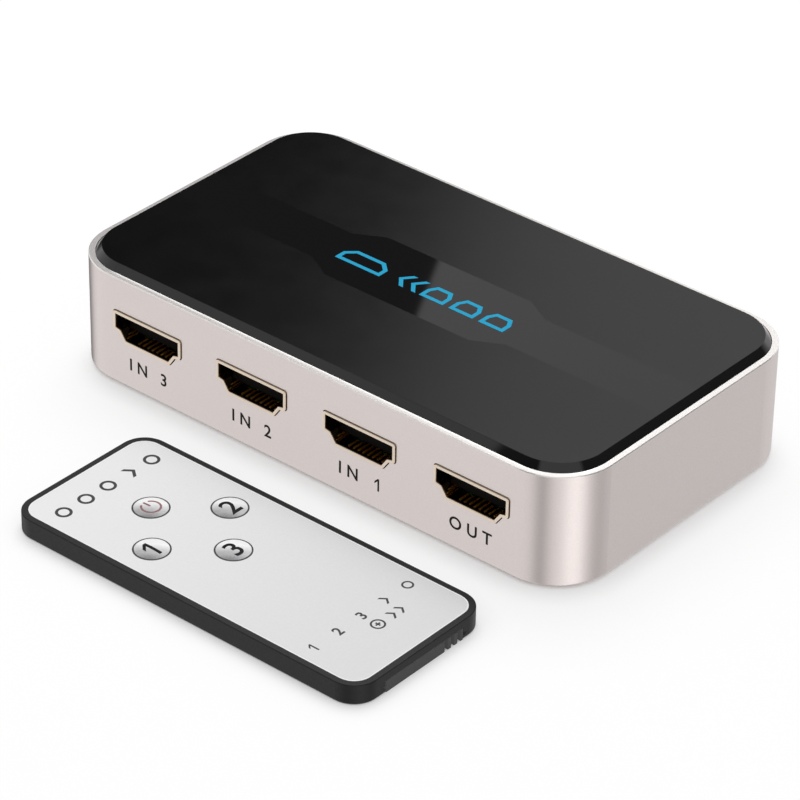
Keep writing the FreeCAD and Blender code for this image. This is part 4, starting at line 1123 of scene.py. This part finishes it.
@dataclass
class CardRemote:
    """The remote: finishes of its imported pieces, the signs on its keys and the marks on its film."""

    materials: Materials
    film_ink_mm: float = 0.015
    outline_mm: tuple[float, float] = (2.83, 3.08)
    """Inner and outer radius of the ring round a key."""
    # The outer circle lies aside, so that the ring is thicker on one side as a painted shadow.
    painted_shadow_aside_mm: tuple[float, float] = (-0.05, -0.04)
    digit_mm: float = 3.7
    digit_weight: float = 0.015
    one_stroke_mm: float = 0.58
    one_down_mm: float = 0.12
    dice_mm: float = 0.3
    crown_mm: float = 0.2
    crown_radius_mm: float = 2.8
    power_radius_mm: float = 1.56
    power_stroke_mm: float = 0.34
    power_gap_deg: float = 33.0
    power_bar_mm: float = 1.57
    power_bar_round: float = 2.1
    """The bar's width is this many times the radius of its corners."""
    edge_line_mm: float = 0.2
    film_corner_mm: float = 3.25
    selector_x_mm: float = -18.0
    selector_pitch_mm: float = 5.0
    selector_ring_mm: float = 1.4
    selector_stroke_mm: float = 0.5
    selector_arm_mm: float = 0.7
    small_digit_mm: float = 2.0
    small_weight: float = 0.02
    small_one_mm: float = 0.3
    small_stroke_mm: float = 0.32
    small_arm_mm: float = 0.448
    small_pitch_mm: float = 5.4
    number_row_x_mm: float = 34.9
    number_arrow_mm: float = 4.86
    cell_sign_x_mm: float = 38.2
    cell_radius_mm: float = 1.24
    cell_plus_mm: float = 1.0
    cell_arrows_mm: tuple[float, float] = (2.7, 4.59)
    digits: dict[Body, str] = field(default_factory=lambda: {
        Body.KEY_1: "1", Body.KEY_2: "2", Body.KEY_3: "3"})

    def dress(self) -> None:
        """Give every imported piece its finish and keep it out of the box's shine, as in the photograph."""
        for node, finish in REMOTE_FINISHES.items():
            self.materials.dress(node, finish)
            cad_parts[node].visible_glossy = False

    def key_place(self, body: Body) -> Point:
        """Find the middle of a key's crown.

        Args:
            body: The key.

        Returns:
            The place, in millimetres.
        """
        low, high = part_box(body.value)
        middle = (low + high) / 2 / MM
        return middle.x, middle.y, high.z / MM

    def on_film(self, name: str, shape: Surface, ink: Finish, x: float | None = None,
                y: float | None = None) -> None:
        """Print a mark on the film.

        Args:
            name: The mark's name.
            shape: Its shape.
            ink: Its finish.
            x: Its place in millimetres, if not in the film's middle.
            y: The same across the film.
        """
        low, high = (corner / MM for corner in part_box("remote_overlay"))
        middle = (low + high) / 2
        place = (middle.x if x is None else x, middle.y if y is None else y, high.z)
        Mark(name, shape, ink, Facing.TOP_FROM_RIGHT, place, Body.REMOTE, "remote_overlay",
             self.film_ink_mm).build(self.materials)

    def outlines(self) -> None:
        """A dark ring round each key: partly print, partly painted shade of the gap, thicker on one side as
        painted shadow.
        """
        ring = turned_ring(*self.outline_mm, self.painted_shadow_aside_mm)
        for body in (Body.KEY_POWER, *self.digits):
            x, y, _ = self.key_place(body)
            self.on_film(f"outline_{body.value}", ring, GREY_INK_AND_SHADE, x, y)

    def edge_line(self) -> None:
        """A white line along the edge of the film: a painted highlight."""
        low, high = (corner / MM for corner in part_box("remote_overlay"))
        outline = rounded_bar(high.y - low.y, high.x - low.x, self.film_corner_mm)
        self.on_film("film_edge_line", band(outline, self.edge_line_mm), PAINTED_EDGE_HIGHLIGHT)

    def selector_sign(self) -> None:
        """Three rings, a chevron and a fourth ring, in a row: one of three goes through."""
        radius, pitch = self.selector_ring_mm, self.selector_pitch_mm
        ring = turned_ring(radius - self.selector_stroke_mm, radius)
        arrow = chevron(2 * radius, self.selector_arm_mm)
        row = in_row((ring, -2 * pitch), (ring, -pitch), (ring, 0), (arrow, pitch - radius / 2),
                     (ring, 2 * pitch))
        self.on_film("selector_sign", row, GREY_INK_AND_SHADE, self.selector_x_mm)

    def foot_signs(self) -> None:
        """Near the battery tray: small numbers that lead to a ring, and a cell with its plus sign."""
        pitch, size, stroke = self.small_pitch_mm, self.small_digit_mm, self.small_stroke_mm
        arrow = chevron(size, self.small_arm_mm)
        ring = turned_ring(size / 2 - stroke, size / 2)
        numbers = [(figure(digit, size, self.small_one_mm, self.small_weight), step * pitch)
                   for step, digit in enumerate(self.digits.values(), start=-2)]
        row = in_row((ring, 2 * pitch), (arrow, self.number_arrow_mm), *numbers)
        self.on_film("number_row", row, GREY_INK_AND_SHADE, self.number_row_x_mm)
        cell = turned_ring(self.cell_radius_mm - stroke, self.cell_radius_mm)
        arrows = [(arrow, x) for x in self.cell_arrows_mm]
        sign = in_row((cell, 0), (plus(self.cell_plus_mm, stroke), 0), *arrows)
        self.on_film("cell_sign", sign, GREY_INK_AND_SHADE, self.cell_sign_x_mm)

    def power_sign(self) -> Surface:
        """A ring open at the top with a short bar in the gap.

        Returns:
            The sign.
        """
        gap, stroke = math.radians(self.power_gap_deg), self.power_stroke_mm
        ring = arc_stroke(self.power_radius_mm, stroke, math.pi / 2 + gap, 2.5 * math.pi - gap)
        bar = prism(rounded_bar(stroke, self.power_bar_mm, stroke / self.power_bar_round))
        bar_y = self.power_radius_mm + stroke / 2 - self.power_bar_mm / 2
        return joined(prism(ring), bar.moved(0, bar_y))

    def key_signs(self) -> None:
        """Digits on three keys and the power sign on the fourth, laid over their crowns."""
        signs = [(f"digit_{body.value}", body, BLACK_INK,
                  figure(digit, self.digit_mm, self.one_stroke_mm, self.digit_weight))
                 for body, digit in self.digits.items()]
        signs.append(("power_sign", Body.KEY_POWER, RED_INK, self.power_sign()))
        for name, body, ink, shape in signs:
            if body is Body.KEY_1:
                shape = shape.moved(0, -self.one_down_mm)
            Mark(name, diced(shape, self.dice_mm), ink, Facing.TOP_FROM_RIGHT, self.key_place(body), body,
                 "key", crown_mm=self.crown_mm, crown_radius_mm=self.crown_radius_mm).build(self.materials)

    def build(self) -> None:
        """Dress the remote and print its marks."""
        self.dress()
        self.outlines()
        self.edge_line()
        self.selector_sign()
        self.foot_signs()
        self.key_signs()


# Light, floor and camera

@dataclass
class Studio:
    """Pale floor, soft light and the camera of the photograph."""

    azimuth: float = 39.873
    elevation: float = 32.692
    roll: float = 1.032
    distance_mm: float = 680.7
    target_mm: Point = (-0.477, -6.146, 2.986)
    focal_px: float = 4160.5
    frame_px: float = 800.0
    sensor_mm: float = 36.0
    near_m: float = 0.01
    floor_half_m: float = 4.0
    floor_white: float = 0.76
    floor_shades: tuple[str, str] = ("#FDFDFD", "#FFFFFF")
    fibre_mm: float = 2.5
    # Reach of the painted contact shade on the floor.
    contact_mm: float = 5.0
    contact_samples: int = 8
    ambient: float = 0.64
    softbox_w: float = 7.8
    softbox_m: float = 0.9
    softbox_at: Point = (-0.35, 0.45, 1.1)
    low_levels: dict[float, float] = field(default_factory=lambda: {
        -180: 0.93, -165: 1.1, -150: 1.04, -96: 1.06, -87: 0.62, -79: 0.3, -72: 0.45, -62: 0.98,
        -42: 1.12, -26: 1.66, -12: 1.64, 4: 0.98, 18: 0.58, 36: 0.56, 50: 0.82, 70: 0.9, 100: 0.8,
        126: 0.92, 131: 0.05, 158: 0.04, 166: 0.25, 176: 0.7, 180: 0.93})
    middle_levels: dict[float, float] = field(default_factory=lambda: {
        -180: 1.0, -136: 0.8, -126: 0.78, -98: 0.6, -91: 0.85, -6: 0.85, 4: 0.06, 62: 0.06, 80: 1.1,
        112: 1.1, 122: 0.71, 136: 0.71, 156: 0.9, 180: 1.0})
    top_levels: dict[float, float] = field(default_factory=lambda: {
        -180: 0.8, -129: 0.8, -127: 0.03, -98: 0.03, -91: 0.85, -6: 0.85, 4: 0.06, 50: 0.06, 62: 0.3,
        80: 1.4, 112: 2.0, 122: 2.0, 128: 0.9, 134: 0.08, 155: 0.08, 168: 0.6, 180: 0.8})
    horizon: tuple[float, float] = (-0.08, 0.04)
    top_from: tuple[float, float] = (0.6, 0.67)
    overhead_from: tuple[float, float] = (0.8, 0.95)
    front_gap_deg: tuple[float, float] = (-128.15, -96.0)
    top_gap_deg: tuple[float, float] = (129.45, 154.0)
    top_gap_lean: float = 0.5
    top_gap_height: float = 0.517
    crisp_deg: float = 0.05
    soft_deg: float = 1.0
    gap_level: float = 0.02
    overhead_level: float = 0.42
    level_scale: float = 2.1

    def camera(self) -> None:
        """Place the camera where the photograph was taken from, rolled about its own axis."""
        turn, rise, tilt = (math.radians(angle) for angle in (self.azimuth, self.elevation, self.roll))
        back = Vector((math.sin(turn) * math.cos(rise), -math.cos(turn) * math.cos(rise), math.sin(rise)))
        right = Vector((0, 0, 1)).cross(back).normalized()
        up = back.cross(right)
        rolled = math.cos(tilt) * right + math.sin(tilt) * up
        risen = math.cos(tilt) * up - math.sin(tilt) * right
        data = bpy.data.cameras.new("camera")
        data.sensor_width = self.sensor_mm
        data.lens = self.focal_px * self.sensor_mm / self.frame_px
        data.clip_start = self.near_m
        item = bpy.data.objects.new("camera", data)
        turned = Matrix((rolled, risen, back)).transposed().to_4x4()
        spot = Vector(self.target_mm) * MM + back * self.distance_mm * MM
        item.matrix_world = Matrix.Translation(spot) @ turned
        bpy.context.scene.collection.objects.link(item)
        bpy.context.scene.camera = item

    def grey(self, level: float) -> tuple[float, float, float, float]:
        """A level of the surroundings as a colour, to be scaled by level_scale."""
        return (level / self.level_scale,) * 3 + (1,)

    def round_horizon(self, nodes: Shading, share: Source, levels: dict[float, float]) -> Source:
        """Brightness of the surroundings round the horizon.

        Args:
            nodes: The world's tree.
            share: Direction round the horizon, from 0 at -X over -Y, +X and +Y to 1.
            levels: Brightness at each direction, in degrees from +X.

        Returns:
            The brightness, to be scaled by level_scale.
        """
        ramp = nodes.add("ValToRGB", {"Fac": share})
        elements = ramp.color_ramp.elements
        while len(elements) < len(levels):
            elements.new(1.0)
        for element, (angle, level) in zip(elements, levels.items()):
            element.position = (angle + 180) / 360
            element.color = self.grey(level)
        return ramp

    def gap(self, nodes: Shading, angle: Source, first: float, last: float) -> Source:
        """A dark gap between two bright cards, with a crisp first edge and a soft last one.

        Args:
            nodes: The world's tree.
            angle: Direction round the horizon, in radians.
            first: Where the gap starts, in degrees.
            last: Where it ends.

        Returns:
            1 inside the gap and 0 outside.
        """
        edges = [nodes.add("MapRange", {"Value": angle, "From Min": math.radians(edge - half),
                                        "From Max": math.radians(edge + half)})
                 for edge, half in ((first, self.crisp_deg), (last, self.soft_deg))]
        return nodes.add("Math", {0: edges[0], 1: edges[1]}, operation="SUBTRACT")

    def cards(self, nodes: Shading) -> Source:
        """Bright cards and dark gaps in tiers: below the horizon, up to about 40 degrees, above, overhead.

        Args:
            nodes: The world's tree.

        Returns:
            The brightness by direction, to be scaled by level_scale.
        """
        apart = nodes.add("SeparateXYZ", {"Vector": nodes.places["Generated"]}).outputs
        angle = nodes.add("Math", {0: apart["Y"], 1: apart["X"]}, operation="ARCTAN2")
        share = nodes.add("MapRange", {"Value": angle, "From Min": -math.pi, "From Max": math.pi})
        leaning = nodes.add("Math", {0: apart["Z"], 1: -self.top_gap_lean, 2: angle},
                            operation="MULTIPLY_ADD")
        shift = math.degrees(self.top_gap_lean * self.top_gap_height)
        front_gap = self.gap(nodes, angle, *self.front_gap_deg)
        top_gap = self.gap(nodes, leaning, *(at - shift for at in self.top_gap_deg))
        gaps = nodes.add("Math", {0: front_gap, 1: top_gap}, operation="ADD", use_clamp=True)
        low, middle, top = (self.round_horizon(nodes, share, levels)
                            for levels in (self.low_levels, self.middle_levels, self.top_levels))
        middle = nodes.blend(gaps, middle, self.grey(self.gap_level))
        overhead = self.grey(self.overhead_level)
        sky = low
        tiers = ((self.horizon, middle), (self.top_from, top), (self.overhead_from, overhead))
        for (start, full), tier in tiers:
            above = nodes.add("MapRange", {"Value": apart["Z"], "From Min": start, "From Max": full})
            sky = nodes.blend(above, sky, tier)
        return sky

    def world(self) -> None:
        """White for the camera, even light for dull surfaces, and bright cards with dark gaps for gloss."""
        world = bpy.data.worlds.new("studio")
        nodes = Shading(world)
        path = nodes.add("LightPath").outputs
        gloss = nodes.add("Background", {"Color": self.cards(nodes), "Strength": self.level_scale})
        even = nodes.add("Background", {"Color": WHITE, "Strength": self.ambient})
        white = nodes.add("Background", {"Color": WHITE, "Strength": 1.0})
        lit = nodes.add("MixShader", {0: path["Is Glossy Ray"], 1: even, 2: gloss})
        clear = nodes.add("Math", {0: path["Is Camera Ray"], 1: path["Is Transmission Ray"]},
                          operation="MAXIMUM")
        seen = nodes.add("MixShader", {0: clear, 1: lit, 2: white})
        nodes.add("OutputWorld", {"Surface": seen})
        bpy.context.scene.world = world

    def paper(self) -> bpy.types.Material:
        """Mostly white to the camera but darker close to the object as painted contact shade, dull to
        light, clear from below.

        Returns:
            The floor's material.
        """
        material = bpy.data.materials.new("studio_paper")
        nodes = Shading(material)
        path = nodes.add("LightPath").outputs
        fibre = nodes.blend(nodes.grain(self.fibre_mm), *self.floor_shades)
        dull = nodes.add("BsdfDiffuse", {"Color": fibre})
        white = nodes.add("Emission", {"Color": WHITE, "Strength": 1.0})
        # Painted contact shade: near the object, occlusion takes some of the white away.
        contact = nodes.add("AmbientOcclusion", {"Distance": self.contact_mm * MM},
                            samples=self.contact_samples).outputs["AO"]
        whiteness = nodes.add("Math", {0: contact, 1: self.floor_white}, operation="MULTIPLY")
        share = nodes.add("Math", {0: path["Is Camera Ray"], 1: whiteness}, operation="MULTIPLY")
        lit = nodes.add("MixShader", {0: share, 1: dull, 2: white})
        under = nodes.add("NewGeometry").outputs["Backfacing"]
        clear = nodes.add("MixShader", {0: under, 1: lit, 2: nodes.add("BsdfTransparent")})
        nodes.add("OutputMaterial", {"Surface": clear})
        return material

    def floor(self) -> None:
        """A large sheet under the object, hidden from glossy rays."""
        half = self.floor_half_m
        mesh = bpy.data.meshes.new("floor")
        mesh.from_pydata([(-half, -half, 0), (half, -half, 0), (half, half, 0), (-half, half, 0)], [],
                         [(0, 1, 2, 3)])
        mesh.materials.append(self.paper())
        item = bpy.data.objects.new("floor", mesh)
        item.visible_glossy = False
        bpy.context.scene.collection.objects.link(item)

    def softbox(self) -> None:
        """One large soft lamp above, a little to the left and behind."""
        data = bpy.data.lights.new("softbox", "AREA")
        data.energy = self.softbox_w
        data.shape = "SQUARE"
        data.size = self.softbox_m
        item = bpy.data.objects.new("softbox", data)
        spot = Vector(self.softbox_at)
        item.matrix_world = Matrix.Translation(spot) @ spot.to_track_quat("Z", "Y").to_matrix().to_4x4()
        bpy.context.scene.collection.objects.link(item)

    def build(self) -> None:
        """Set up the studio."""
        bpy.context.scene.view_settings.view_transform = "Standard"
        self.camera()
        self.world()
        self.floor()
        self.softbox()


def main() -> None:
    """Build the studio, dress the object and report each piece."""
    logging.basicConfig(level=logging.INFO, format="%(name)s: %(message)s")
    materials = Materials()
    Studio().build()
    SwitchBox(materials).build()
    CardRemote(materials).build()


if __name__ == "__main__":
    main()
